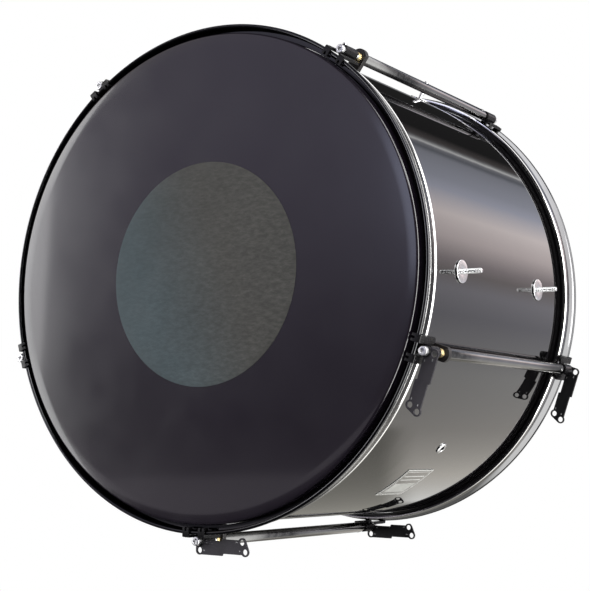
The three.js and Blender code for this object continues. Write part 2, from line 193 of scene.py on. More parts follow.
class BoltSizes(bpy.types.PropertyGroup):
    thread: size("Thread", "Diameter of the thread", 6)
    pitch: size("Pitch", "Distance between the thread's turns", 1)
    head: size("Head", "Diameter of the bolt's head", 10)
    head_height: size("Head height", "Height of the bolt's head", 6)
    head_edge: size("Head edge", "Fillet of the head's edge", 0.75)
    socket: size("Socket", "Width of the hexagon socket", 5)
    socket_depth: size("Socket depth", "Depth of the socket", 3)
    face: size("Face", "Depth of a bolt's face below the rim", 2)
    length: size("Length", "Length of a bolt's shank", 54)
    plain: size("Plain length", "Length of the shank's plain part", 20)
    washer: size("Washer", "Diameter of the washer under a bolt's head", 12.4)
    washer_thickness: size("Washer thickness", "Thickness of that washer", 1.6)
    plating: colour("Plating", "Colour of the bright plating", (0.9, 0.9, 0.91, 1))
    plating_roughness: share("Plating roughness", "Roughness of the bolts' satin plating", 0.36)
    polish_roughness: share("Polish roughness", "Roughness of the studs' and the vent's plating", 0.20)


class YokeSizes(bpy.types.PropertyGroup):
    boss: size("Boss", "Diameter of the boss round the bolt", 13)
    boss_end: size("Boss end", "Depth at which a yoke's boss ends", 31)
    spacing: size("Claw spacing", "Distance between a yoke's two claws", 21.6)
    claw_width: size("Claw width", "Width of a claw", 8.4)
    claw_thickness: size("Claw thickness", "Thickness of a claw", 2.8)
    hook: size("Hook thickness", "Thickness of the hook over the lip", 2)
    hook_reach: size("Hook reach", "How deep the hook reaches inside the lip", 5.5)
    tip: size("Tip thickness", "Thickness of the hook's tip", 2.6)
    bevel: size("Hook bevel", "Bevel of the hook's outer corner", 1.2)
    notch: size("Notch", "Width of the notch between a claw's teeth", 2.8)
    notch_height: size("Notch height", "Height of that notch", 4.2)
    web: size("Web", "Length of the web between the claws", 15)
    neck: size("Neck", "Width of the neck under the boss", 9)
    rib: size("Rib", "Radius of the ribs along a claw", 0.5)
    edge: size("Edge", "Rounding of a yoke's edges", 0.35)
    coat: colour("Coat", "Colour of the black coat", (0.007, 0.0065, 0.0075, 1))
    coat_roughness: share("Coat roughness", "Roughness of the black coat", 0.28)


class TubeSizes(bpy.types.PropertyGroup):
    diameter: size("Diameter", "Diameter of a tension tube", 12.7)
    front: size("Front face", "Depth of the tube's front face", 48.5)
    rear: size("Rear face", "Depth of the tube's rear face", 31.3)
    nose: size("Nose", "Length of the turned nose", 8)
    nose_diameter: size("Nose diameter", "Diameter of the turned nose", 10.4)
    insert: size("Insert", "Diameter of the brass insert", 8.6)
    insert_face: size("Insert face", "Depth of the insert's front face", 38)
    insert_ring: size("Insert ring", "How far the insert's rings stand out", 0.7)
    insert_grip: size("Insert grip", "How far the insert reaches into the tube", 24)
    flange_face: size("Flange face", "Depth of the guide flange's face", 42)
    flange_thickness: size("Flange thickness", "Thickness of the guide flange", 6.2)
    flange_width: size("Flange width", "Width of the guide flange", 16.8)
    flange_radius: size("Flange radius", "Radius of the guide flange's top", 10.2)
    pin: size("Pin", "Diameter of the pin near the tube's rear end", 3.6)
    pin_place: size("Pin place", "Distance of the pin from the tube's rear face", 12)
    pin_depth: size("Pin depth", "How deep the pin reaches into the tube", 1.2)
    pin_rise: size("Pin rise", "How far the pin stands out of the tube", 0.35)
    thread_length: size("Thread length", "Length of the tube's threaded rear end", 24)
    edge: size("Edge", "Rounding of the edges of tubes and flanges", 0.5)
    anodised: colour("Anodised", "Colour of the dark anodised tubes", (0.30, 0.30, 0.30, 1))
    anodised_roughness: share("Anodised roughness", "Roughness of the tubes", 0.12)
    brass: colour("Brass", "Colour of the brass inserts", (0.78, 0.64, 0.36, 1))
    brass_roughness: share("Brass roughness", "Roughness of the inserts", 0.3)
    nylon: colour("Nylon", "Colour of the guide flanges", (0.012, 0.010, 0.010, 1))
    nylon_roughness: share("Nylon roughness", "Roughness of the guide flanges", 0.42)


class PlateSizes(bpy.types.PropertyGroup):
    thickness: size("Thickness", "Thickness of a carrier plate", 2.5)
    length: size("Length", "Distance from the bolt to the far eye", 62)
    hole: size("Hole", "Diameter of the eyes", 6.6)
    eye: size("Eye", "Radius of the rounding about an eye", 5)
    spread: size("Spread", "Distance between the two near eyes", 10)
    far_shift: size("Far shift", "How much nearer the inner far eye is", 4.5)
    far_offset: size("Far offset", "How far the far eyes lie inwards", -1)
    inner: size("Inner edge", "Place of the inner edge", -1)
    outer: size("Outer edge", "Place of the outer edge", 14.6)
    joggle: size("Joggle", "How far the far half is set inwards", 2.4)
    joggle_along: size("Joggle along", "Distance of the joggle from the bolt", 30)
    front_face: size("Front face", "Depth of a front plate's face", 10.2)
    rear_face: size("Rear face", "Depth of a rear plate's face", 8.3)
    edge: size("Edge", "Rounding of the plate's edges", 0.25)
    digit: size("Digit", "Height of the plain digits beside the eyes", 3.2)
    print_rise: size("Print rise", "Half the thickness of the printed digits", 0.02)
    # The front plates' coat is the rear plates' black coat lightened: painted light
    front_coat_painted_light: colour("Front coat", "Colour of the front plates' coat", (0.036, 0.033, 0.040, 1))
    rear_coat: colour("Rear coat", "Colour of the rear plates' coat", (0.007, 0.007, 0.008, 1))
    coat_roughness: share("Coat roughness", "Roughness of the plate's coat", 0.46)
    print: colour("Print", "Colour of the printed digits", (0.55, 0.55, 0.56, 1))
    print_roughness: share("Print roughness", "Roughness of the printed digits", 0.5)


class StudSizes(bpy.types.PropertyGroup):
    rise: size("Rise", "How far a stud stands out of the shell", 25.5)
    diameter: size("Diameter", "Diameter of a stud's thread", 6)
    washer: size("Washer", "Diameter of the wide washer", 25.6)
    washer_thickness: size("Washer thickness", "Thickness of the wide washer", 1.5)
    head: size("Head", "Diameter of the head inside the shell", 14)
    head_thickness: size("Head thickness", "Thickness of that head", 3.5)
    head_gap: size("Head gap", "Gap between the shell and that head", 0.7)
    edge: size("Edge", "Rounding of a stud's edges", 0.4)
    washer_edge: size("Washer edge", "Rounding of the wide washer's edges", 0.45)
    gap: size("Gap", "Gap between pieces that touch", 0.3)


class TrimSizes(bpy.types.PropertyGroup):
    vent_angle: angle("Vent angle", "Place of the vent round the shell", -43.2)
    vent_hole: size("Vent hole", "Diameter of the vent's hole", 8)
    vent_barrel: size("Vent barrel", "Diameter of the eyelet's barrel", 10)
    vent_flange: size("Vent flange", "Diameter of the eyelet's flange", 15)
    vent_flange_thickness: size("Vent flange thickness", "Thickness of that flange", 1.6)
    vent_inner: size("Vent inner flange", "Diameter of the flange inside the shell", 14)
    vent_inner_thickness: size("Vent inner thickness", "Thickness of the flange inside", 1.2)
    vent_edge: size("Vent edge", "Rounding of the eyelet's small edges", 0.2)
    vent_roll: size("Vent roll", "Rounding of the rolled flange's top", 2)
    vent_mouth: size("Vent mouth", "Rounding of the eyelet's mouth", 1.1)
    # The dark sleeve in the vent's hole is painted shade
    vent_painted_shade: size("Vent lining", "Thickness of the dark lining in the hole", 0.24)
    badge_angle: angle("Plate angle", "Place of the name plate round the shell", -56.4)
    badge_length: size("Plate length", "Length of the name plate along the shell", 60)
    badge_arc: size("Plate arc", "Width of the name plate round the shell", 54)
    badge_thickness: size("Plate thickness", "Thickness of the name plate", 0.5)
    badge_shift: size("Plate shift", "Place of the name plate along the shell", 2.75)
    frame_inset: size("Frame inset", "Distance of the inner frame line from the edge", 3.4)
    frame_line: size("Frame line", "Width of the outer frame line and of a ruled one", 1.5)
    frame_rise: size("Frame rise", "Thickness of the panel and of the lines on it", 0.06)
    badge_colour: colour("Plate colour", "Colour of the bare name plate", (0.016, 0.016, 0.017, 1))
    badge_roughness: share("Plate roughness", "Roughness of the bare name plate", 0.12)
    rule_step: size("Rule step", "Distance between the two ruled lines", 7)
    line_colour: colour("Line colour", "Colour of the frame lines", (0.90, 0.90, 0.86, 1))
    line_roughness: share("Line roughness", "Roughness of the frame lines", 0.4)
    field_colour: colour("Field colour", "Colour of the plain light field", (0.62, 0.62, 0.58, 1))
    field_roughness: share("Field roughness", "Roughness of the plain light field", 0.45)


class StageSizes(bpy.types.PropertyGroup):
    yaw: angle("Yaw", "How far the camera turns to the drum's left", 31.83)
    pitch: angle("Pitch", "How far the camera looks up", 8.55)
    roll: angle("Roll", "How far the camera leans", 1.14)
    place: bpy.props.FloatVectorProperty(
        name="Place", description="The camera's place", default=(0.961, -1.42575, -0.18), unit="LENGTH"
    )
    focal: bpy.props.FloatProperty(name="Focal length", description="In millimetres", default=83.75)
    shift: bpy.props.FloatVectorProperty(
        name="Shift", description="The lens shift", default=(-0.0966, -0.111), size=2
    )
    floor_depth: size("Floor depth", "Distance of the floor below the drum's axis", 1050)
    floor_radius: size("Floor radius", "Radius of the floor", 2600)
    world_light: share("World light", "Strength of the world's even light", 0.55)
    floor_colour: colour("Floor colour", "Colour of the pale floor", (0.86, 0.86, 0.86, 1))


GROUPS = {
    "drum_shell": ShellSizes,
    "drum_heads": HeadSizes,
    "drum_hoops": HoopSizes,
    "drum_bolts": BoltSizes,
    "drum_yokes": YokeSizes,
    "drum_tubes": TubeSizes,
    "drum_plates": PlateSizes,
    "drum_studs": StudSizes,
    "drum_trim": TrimSizes,
    "drum_stage": StageSizes,
}


# Places in the drum

def end_frame(end):
    """From a rim's own axes, in which y is the depth below the rim, to the drum's."""
    if end == "front":
        return Matrix.Translation((0, -HALF_SPAN, 0))
    return Matrix.Translation((0, HALF_SPAN, 0)) @ Matrix.Rotation(math.pi, 4, "Z")


def turn_outwards(angle_round):
    """Turns z outwards at this angle round the drum, from +X towards +Z."""
    return Matrix.Rotation(QUARTER_TURN - angle_round, 4, "Y")


def rod_frame(place, end):
    """From a rod's own axes to the drum's: y is the depth below the rim and z points outwards."""
    x, _, z = ROD_JOINTS[place]["pos_m"]
    outwards = turn_outwards(math.atan2(z, x))
    out = Matrix.Translation((0, 0, ROD_RADIUS))
    return outwards @ out @ end_frame(end)


def seat_frame(angle_round, along):
    """Axes on the shell's surface, with z pointing outwards."""
    return turn_outwards(angle_round) @ Matrix.Translation((0, along, SHELL_RADIUS))


# Meshes

def mesh_from(bm, name="part"):
    """A new mesh of what has been built, which is freed."""
    mesh = bpy.data.meshes.new(name)
    bm.to_mesh(mesh)
    bm.free()
    return mesh


def arc(centre, radius, start, end, steps=FILLET_STEPS * 2):
    """Points of an arc about [x, y], between two angles."""
    points = []
    for step in range(steps + 1):
        turn = start + (end - start) * step / steps
        points.append((centre[0] + radius * math.cos(turn), centre[1] + radius * math.sin(turn)))
    return points


def rounded(corners, steps=FILLET_STEPS):
    """A closed outline through [x, y, fillet] corners, with an arc at each corner that has a fillet."""
    outline = []
    for index, (x, y, fillet) in enumerate(corners):
        here = Vector((x, y))
        if not fillet:
            outline.append((x, y))
            continue
        before = Vector(corners[index - 1][:2]) - here
        after = Vector(corners[(index + 1) % len(corners)][:2]) - here
        half = before.angle(after) / 2
        most = min(before.length, after.length) / 2
        reach = min(fillet / math.tan(half), most)
        radius = reach * math.tan(half)
        middle = here + (before.normalized() + after.normalized()).normalized() * radius / math.sin(half)
        start = here + before.normalized() * reach - middle
        end = here + after.normalized() * reach - middle
        sweep = math.atan2(start.x * end.y - start.y * end.x, start.dot(end))
        first = math.atan2(start.y, start.x)
        outline += arc(middle, radius, first, first + sweep, steps)
    return outline


def turned(outline, steps):
    """A skin turned about Y. The outline is [radius, y]. One that touches the axis closes there."""
    bm = bmesh.new()
    rings = []
    for radius, y in outline:
        if radius < AXIS_SLACK:
            rings.append([bm.verts.new((0, y, 0))])
            continue
        ring = []
        for step in range(steps):
            turn = FULL_TURN * step / steps
            ring.append(bm.verts.new((radius * math.cos(turn), y, radius * math.sin(turn))))
        rings.append(ring)
    for index, ring in enumerate(rings):
        following = rings[(index + 1) % len(rings)]
        if len(ring) == 1 and len(following) == 1:
            continue
        for step in range(steps):
            corners = [ring[step % len(ring)], ring[(step + 1) % len(ring)]]
            corners += [following[(step + 1) % len(following)], following[step % len(following)]]
            bm.faces.new(list(dict.fromkeys(corners)))
    bmesh.ops.recalc_face_normals(bm, faces=bm.faces)
    return mesh_from(bm)


def bar(radius, start, end, steps=TUBE_STEPS, at=(0, 0)):
    """A round bar along Y."""
    mesh = turned([(0, start), (radius, start), (radius, end), (0, end)], steps)
    mesh.transform(Matrix.Translation((at[0], 0, at[1])))
    return mesh


def block(low, high):
    """A box between two corners."""
    bm = bmesh.new()
    bmesh.ops.create_cube(bm, size=1)
    mesh = mesh_from(bm)
    spans = [b - a for a, b in zip(low, high)]
    middle = [(a + b) / 2 for a, b in zip(low, high)]
    mesh.transform(Matrix.Translation(middle) @ Matrix.Diagonal((*spans, 1)))
    return mesh


def extruded(outline, start, end):
    """A closed skin from a closed [x, y] outline, between two heights."""
    bm = bmesh.new()
    foot = [bm.verts.new((x, y, start)) for x, y in outline]
    top = [bm.verts.new((x, y, end)) for x, y in outline]
    bm.faces.new(foot)
    bm.faces.new(top)
    for index in range(len(outline)):
        following = (index + 1) % len(outline)
        bm.faces.new([foot[index], foot[following], top[following], top[index]])
    bmesh.ops.recalc_face_normals(bm, faces=bm.faces)
    return mesh_from(bm)


def held(data):
    """An object that holds a mesh or a text in the scene while it is worked on."""
    holder = bpy.data.objects.new("holder", data)
    bpy.context.scene.collection.objects.link(holder)
    return holder


def released(holder):
    """The plain mesh that the holder has come to. The holder is removed."""
    bpy.context.view_layer.update()
    evaluated = holder.evaluated_get(bpy.context.evaluated_depsgraph_get())
    result = bpy.data.meshes.new_from_object(evaluated)
    bpy.data.objects.remove(holder)
    return result


def worked(mesh, *modifiers):
    """The mesh after some modifiers, each given as a type and its settings."""
    holder = held(mesh)
    for kind, settings in modifiers:
        modifier = holder.modifiers.new(kind, kind)
        for key, value in settings.items():
            setattr(modifier, key, value)
    return released(holder)


def united(parts, cuts=()):
    """One closed skin from closed parts that overlap, less the cuts."""
    helpers = []
    modifiers = []
    for operation, meshes in (("UNION", parts[1:]), ("DIFFERENCE", cuts)):
        for mesh in meshes:
            helpers.append(held(mesh))
            settings = {"operation": operation, "object": helpers[-1], "solver": "EXACT"}
            modifiers.append(("BOOLEAN", settings))
    result = worked(parts[0], *modifiers)
    for helper in helpers:
        bpy.data.objects.remove(helper)
    return result


def softened(mesh, width):
    """The mesh with its sharp edges rounded."""
    smooth(mesh, math.pi)
    settings = {"width": width, "segments": 2, "limit_method": "ANGLE", "harden_normals": True}
    return worked(mesh, ("BEVEL", settings))


def smooth(mesh, sharp=SHARP_EDGE):
    """Shades a mesh smoothly, but for edges that bend by more than an angle."""
    mesh.polygons.foreach_set("use_smooth", [True] * len(mesh.polygons))
    mesh.set_sharp_from_angle(angle=sharp)


def joined(meshes):
    """Several meshes as one, which has no material yet."""
    bm = bmesh.new()
    for mesh in meshes:
        bm.from_mesh(mesh)
    return mesh_from(bm)


def piece(name, mesh, matrix, body, finish, slot, *nodes):
    """A copy of the mesh as a finished piece in its place, on its body and for its nodes."""
    placed = mesh.copy()
    placed.transform(matrix)
    placed.name = name
    if not placed.materials:
        placed.materials.append(finish)
    made = bpy.data.objects.new(name, placed)
    bpy.context.scene.collection.objects.link(made)
    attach(made, body)
    if nodes:
        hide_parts(*nodes)


# Node trees

class Nodes:
    """Short ways to add and link the nodes of a tree."""

    def __init__(self, tree):
        self.tree = tree

    def node(self, kind, settings=None, **inputs):
        made = self.tree.nodes.new(kind)
        for key, value in (settings or {}).items():
            setattr(made, key, value)
        for label, value in inputs.items():
            self.feed(made.inputs[label.replace("_", " ")], value)
        return made

    def feed(self, socket, value):
        if isinstance(value, bpy.types.NodeSocket):
            self.tree.links.new(value, socket)
        else:
            socket.default_value = value

    def maths(self, operation, *values):
        made = self.node("ShaderNodeMath", {"operation": operation})
        for index, value in enumerate(values):
            self.feed(made.inputs[index], value)
        return made.outputs[0]


class TreeBuilder(Nodes):
    """A geometry node tree with named inputs, which ends in Realize Instances and Set Material."""

    def __init__(self, name, inputs):
        super().__init__(bpy.data.node_groups.new(name, "GeometryNodeTree"))
        self.tree.interface.new_socket("Geometry", in_out="INPUT", socket_type="NodeSocketGeometry")
        for label, kind in inputs.items():
            self.tree.interface.new_socket(label, in_out="INPUT", socket_type="NodeSocket" + kind)
        self.tree.interface.new_socket("Geometry", in_out="OUTPUT", socket_type="NodeSocketGeometry")
        self.inputs = self.node("NodeGroupInput").outputs

    def finish(self, geometry):
        real = self.node("GeometryNodeRealizeInstances", Geometry=geometry)
        dressed = self.node("GeometryNodeSetMaterial", Geometry=real.outputs[0])
        self.feed(dressed.inputs["Material"], self.inputs["Material"])
        out = self.node("NodeGroupOutput")
        self.tree.links.new(dressed.outputs[0], out.inputs[0])
        return self.tree


def ring_tree():
    """Sweeps the object's own closed outline round a circle. Its x is the distance outwards."""
    build = TreeBuilder("Turned ring", {"Radius": "Float", "Steps": "Int", "Material": "Material"})
    circle = build.node("GeometryNodeCurvePrimitiveCircle", Radius=build.inputs["Radius"])
    build.feed(circle.inputs["Resolution"], build.inputs["Steps"])
    outline = build.node("GeometryNodeMeshToCurve", Mesh=build.inputs["Geometry"])
    sweep = build.node("GeometryNodeCurveToMesh", Curve=circle.outputs[0])
    build.feed(sweep.inputs["Profile Curve"], outline.outputs[0])
    turn = build.node("GeometryNodeTransform", Geometry=sweep.outputs[0])
    turn.inputs["Rotation"].default_value = (QUARTER_TURN, 0, 0)
    return build.finish(turn.outputs[0])


def thread_tree():
    """A screw thread along Y: a sharp ridge swept along a helix."""
    inputs = {"Radius": "Float", "Pitch": "Float", "Length": "Float", "Start": "Float"}
    build = TreeBuilder("Screw thread", {**inputs, "Ridge": "Float", "Material": "Material"})
    turns = build.maths("DIVIDE", build.inputs["Length"], build.inputs["Pitch"])
    helix = build.node("GeometryNodeCurveSpiral", Resolution=18, Rotations=turns)
    build.feed(helix.inputs["Start Radius"], build.inputs["Radius"])
    build.feed(helix.inputs["End Radius"], build.inputs["Radius"])
    build.feed(helix.inputs["Height"], build.inputs["Length"])
    ridge = build.node("GeometryNodeCurvePrimitiveCircle", Resolution=4, Radius=build.inputs["Ridge"])
    sweep = build.node("GeometryNodeCurveToMesh", Curve=helix.outputs[0])
    build.feed(sweep.inputs["Profile Curve"], ridge.outputs[0])
    sweep.inputs["Fill Caps"].default_value = True
    turn = build.node("GeometryNodeTransform", Geometry=sweep.outputs[0])
    turn.inputs["Rotation"].default_value = (-QUARTER_TURN, 0, 0)
    place = build.node("ShaderNodeCombineXYZ", Y=build.inputs["Start"])
    build.feed(turn.inputs["Translation"], place.outputs[0])
    return build.finish(turn.outputs[0])


def rib_tree():
    """Round ribs side by side along x, each the object's own mesh."""
    inputs = {"Count": "Int", "Spacing": "Float", "Start": "Float", "Material": "Material"}
    build = TreeBuilder("Claw ribs", inputs)
    step = build.node("ShaderNodeCombineXYZ", X=build.inputs["Spacing"])
    start = build.node("ShaderNodeCombineXYZ", X=build.inputs["Start"])
    line = build.node("GeometryNodeMeshLine", Count=build.inputs["Count"])
    build.feed(line.inputs["Offset"], step.outputs[0])
    build.feed(line.inputs["Start Location"], start.outputs[0])
    ribs = build.node("GeometryNodeInstanceOnPoints", Points=line.outputs[0])
    build.feed(ribs.inputs["Instance"], build.inputs["Geometry"])
    return build.finish(ribs.outputs[0])


def grown(tree, mesh, **values):
    """The plain mesh that a tree makes of a mesh, with the tree's inputs given by name."""
    holder = held(mesh)
    modifier = holder.modifiers.new("Tree", "NODES")
    modifier.node_group = tree
    sockets = {item.name: item for item in tree.interface.items_tree if item.in_out == "INPUT"}
    for label, value in values.items():
        modifier[sockets[label].identifier] = value
    result = released(holder)
    bm = bmesh.new()
    bm.from_mesh(result)
    bmesh.ops.remove_doubles(bm, verts=bm.verts, dist=MERGE_SLACK)
    bmesh.ops.recalc_face_normals(bm, faces=bm.faces)
    bm.to_mesh(result)
    bm.free()
    return result


def outline_mesh(points):
    """A closed line of edges, for the ring tree."""
    mesh = bpy.data.meshes.new("outline")
    edges = [(index, (index + 1) % len(points)) for index in range(len(points))]
    mesh.from_pydata([(x, y, 0) for x, y in points], edges, [])
    return mesh


# Finishes

# Heights of the fine relief on a surface
FINE_RELIEF = 0.1 * MM
NYLON_RELIEF = 0.2 * MM
PATCH_RELIEF = 0.5 * MM
PEEL_RELIEF = 0.6 * MM
SLACK_RELIEF = 2 * MM

# Between which values of a noise most of it lies, and how much finer the wear is than the tone
NOISE_SPAN = (0.3, 0.7)
WEAR_FINENESS = 4.3

# Where the patch's painted sheen starts and ends to drift, as shares of its radius, how far that drift
# leans, and the angle and the strength of the painted shade and highlight along its creases
PATCH_DRIFT_SHARES = (-0.8, 0.35)
PATCH_LEAN = 0.45
CREASE_ANGLE = math.radians(35)
CREASE_SHADE_STRENGTH = 0.42


class Shading(Nodes):
    """The nodes of a material or of a shader group."""

    def ramp(self, value, low, high, to_low=0.0, to_high=1.0, smoothly=False):
        kind = "SMOOTHSTEP" if smoothly else "LINEAR"
        made = self.node("ShaderNodeMapRange", {"interpolation_type": kind}, Value=value)
        made.inputs["From Min"].default_value = low
        made.inputs["From Max"].default_value = high
        made.inputs["To Min"].default_value = to_low
        made.inputs["To Max"].default_value = to_high
        return made.outputs[0]


def shader_group(name, inputs, outputs):
    tree = bpy.data.node_groups.new(name, "ShaderNodeTree")
    for label, (kind, default) in inputs.items():
        socket = tree.interface.new_socket(label, in_out="INPUT", socket_type="NodeSocket" + kind)
        socket.default_value = default
    for label, kind in outputs.items():
        tree.interface.new_socket(label, in_out="OUTPUT", socket_type="NodeSocket" + kind)
    return tree


def cloudy_group():
    """Uneven colour and roughness over a surface, as handling and polishing leave it."""
    inputs = {
        "Colour": ("Color", (0.5, 0.5, 0.5, 1)),
        "Roughness": ("Float", 0.3),
        "Scale": ("Float", 20.0),
        "Tone": ("Float", 0.1),
        "Wear": ("Float", 0.05),
    }
    tree = shader_group("Handling", inputs, {"Colour": "Color", "Roughness": "Float"})
    shade = Shading(tree)
    given = shade.node("NodeGroupInput").outputs
    where = shade.node("ShaderNodeTexCoord").outputs["Object"]
    broad = shade.node("ShaderNodeTexNoise", Vector=where, Scale=given["Scale"], Detail=5.0)
    finer = shade.maths("MULTIPLY", given["Scale"], WEAR_FINENESS)
    small = shade.node("ShaderNodeTexNoise", Vector=where, Scale=finer, Detail=4.0)
    tone = shade.ramp(broad.outputs["Fac"], *NOISE_SPAN, -1.0, 1.0)
    light = shade.maths("MULTIPLY_ADD", tone, given["Tone"], 1.0)
    mixed = shade.node("ShaderNodeVectorMath", {"operation": "SCALE"}, Scale=light)
    shade.feed(mixed.inputs[0], given["Colour"])
    uneven = shade.ramp(small.outputs["Fac"], *NOISE_SPAN, -1.0, 1.0)
    rough = shade.maths("MULTIPLY_ADD", uneven, given["Wear"], given["Roughness"])
    out = shade.node("NodeGroupOutput")
    shade.feed(out.inputs["Colour"], mixed.outputs[0])
    shade.feed(out.inputs["Roughness"], rough)
    return tree


def speckle_group():
    """Fine grain of a sprayed or moulded surface, as a height and as small light points."""
    inputs = {"Scale": ("Float", 900.0), "Points": ("Float", 0.1)}
    tree = shader_group("Grain", inputs, {"Height": "Float", "Points": "Float"})
    shade = Shading(tree)
    given = shade.node("NodeGroupInput").outputs
    where = shade.node("ShaderNodeTexCoord").outputs["Object"]
    grain = shade.node("ShaderNodeTexNoise", Vector=where, Scale=given["Scale"], Detail=2.0)
    cells = shade.node("ShaderNodeTexVoronoi", Vector=where, Scale=given["Scale"])
    near = shade.ramp(cells.outputs["Distance"], 0.0, 0.28, 1.0, 0.0)
    points = shade.maths("MULTIPLY", near, given["Points"])
    out = shade.node("NodeGroupOutput")
    shade.feed(out.inputs["Height"], grain.outputs["Fac"])
    shade.feed(out.inputs["Points"], points)
    return tree


def turning_group():
    """Fine rings round the drum's axis, as a spun and polished hoop has."""
    tree = shader_group("Turning marks", {"Scale": ("Float", 2500.0)}, {"Height": "Float"})
    shade = Shading(tree)
    given = shade.node("NodeGroupInput").outputs
    where = shade.node("ShaderNodeTexCoord").outputs["Object"]
    parts = shade.node("ShaderNodeSeparateXYZ", Vector=where).outputs
    across = shade.maths("POWER", parts["X"], 2.0)
    up = shade.maths("POWER", parts["Z"], 2.0)
    radius = shade.maths("SQRT", shade.maths("ADD", across, up))
    flat = shade.node("ShaderNodeCombineXYZ", X=radius, Y=parts["Y"])
    marks = shade.node("ShaderNodeTexNoise", Vector=flat.outputs[0], Scale=given["Scale"], Detail=3.0)
    out = shade.node("NodeGroupOutput")
    shade.feed(out.inputs["Height"], marks.outputs["Fac"])
    return tree


def drawn_group():
    """Fine lines along the drum's axis, as a drawn tube has."""
    tree = shader_group("Drawn lines", {"Scale": ("Float", 1500.0)}, {"Height": "Float"})
    shade = Shading(tree)
    given = shade.node("NodeGroupInput").outputs
    where = shade.node("ShaderNodeTexCoord").outputs["Object"]
    stretched = shade.node("ShaderNodeMapping", {"vector_type": "POINT"}, Vector=where)
    stretched.inputs["Scale"].default_value = (1, 0.008, 1)
    lines = shade.node("ShaderNodeTexNoise", Vector=stretched.outputs[0], Scale=given["Scale"], Detail=2.0)
    out = shade.node("NodeGroupOutput")
    shade.feed(out.inputs["Height"], lines.outputs["Fac"])
    return tree


# The groups that are built already
SHADER_GROUPS = {}


def group_node(shade, name, **inputs):
    """A shader group, built the first time that a material asks for it."""
    makers = {
        "Handling": cloudy_group,
        "Grain": speckle_group,
        "Turning marks": turning_group,
        "Drawn lines": drawn_group,
    }
    if name not in SHADER_GROUPS:
        SHADER_GROUPS[name] = makers[name]()
    made = shade.tree.nodes.new("ShaderNodeGroup")
    made.node_tree = SHADER_GROUPS[name]
    for label, value in inputs.items():
        shade.feed(made.inputs[label], value)
    return made


def surface(name, colour_value, roughness, scale, tone, wear, **constants):
    """A material with its colour and roughness from the handling group. Returns it with its nodes."""
    material = bpy.data.materials.new(name)
    material.use_nodes = True
    shade = Shading(material.node_tree)
    shader = material.node_tree.nodes["Principled BSDF"]
    for label, value in constants.items():
        shader.inputs[label.replace("_", " ")].default_value = value
    inputs = {"Colour": colour_value, "Roughness": roughness, "Scale": scale, "Tone": tone, "Wear": wear}
    handled = group_node(shade, "Handling", **inputs)
    shade.feed(shader.inputs["Base Color"], handled.outputs["Colour"])
    shade.feed(shader.inputs["Roughness"], handled.outputs["Roughness"])
    return material, shade, shader


def mixed_colour(shade, share_of_second, first, second):
    """A colour between two colours, each a value or a socket."""
    made = shade.node("ShaderNodeMix", {"data_type": "RGBA"})
    shade.feed(made.inputs["Factor"], share_of_second)
    shade.feed(made.inputs["A"], first)
    shade.feed(made.inputs["B"], second)
    return made.outputs["Result"]


def bump(shade, shader, height, strength, distance):
    """Fine relief. The distance is the height that a full step in the pattern stands for."""
    made = shade.node("ShaderNodeBump", Height=height, Strength=strength, Distance=distance)
    shade.feed(shader.inputs["Normal"], made.outputs[0])


def lacquer_finish(sizes):
    made, shade, shader = surface(
        "black_lacquer", sizes.lacquer, sizes.lacquer_roughness, scale=5.0, tone=0.1, wear=0.012,
        Coat_Weight=1.0, Coat_Roughness=0.02, Coat_IOR=1.5, IOR=1.5,
    )
    where = shade.node("ShaderNodeTexCoord").outputs["Object"]
    peel = shade.node("ShaderNodeTexNoise", Vector=where, Scale=38.0, Detail=1.0)
    bump(shade, shader, peel.outputs["Fac"], strength=0.10, distance=PEEL_RELIEF)
    return made


def film_finish(sizes):
    made, shade, shader = surface(
        "head_film", sizes.film_colour, sizes.film_roughness, scale=4.0, tone=0.12, wear=0.03,
        Coat_Weight=0.6, Coat_Roughness=0.05, IOR=1.5,
    )
    where = shade.node("ShaderNodeTexCoord").outputs["Object"]
    slack = shade.node("ShaderNodeTexNoise", Vector=where, Scale=7.0, Detail=1.5)
    bump(shade, shader, slack.outputs["Fac"], strength=0.3, distance=SLACK_RELIEF)
    return made


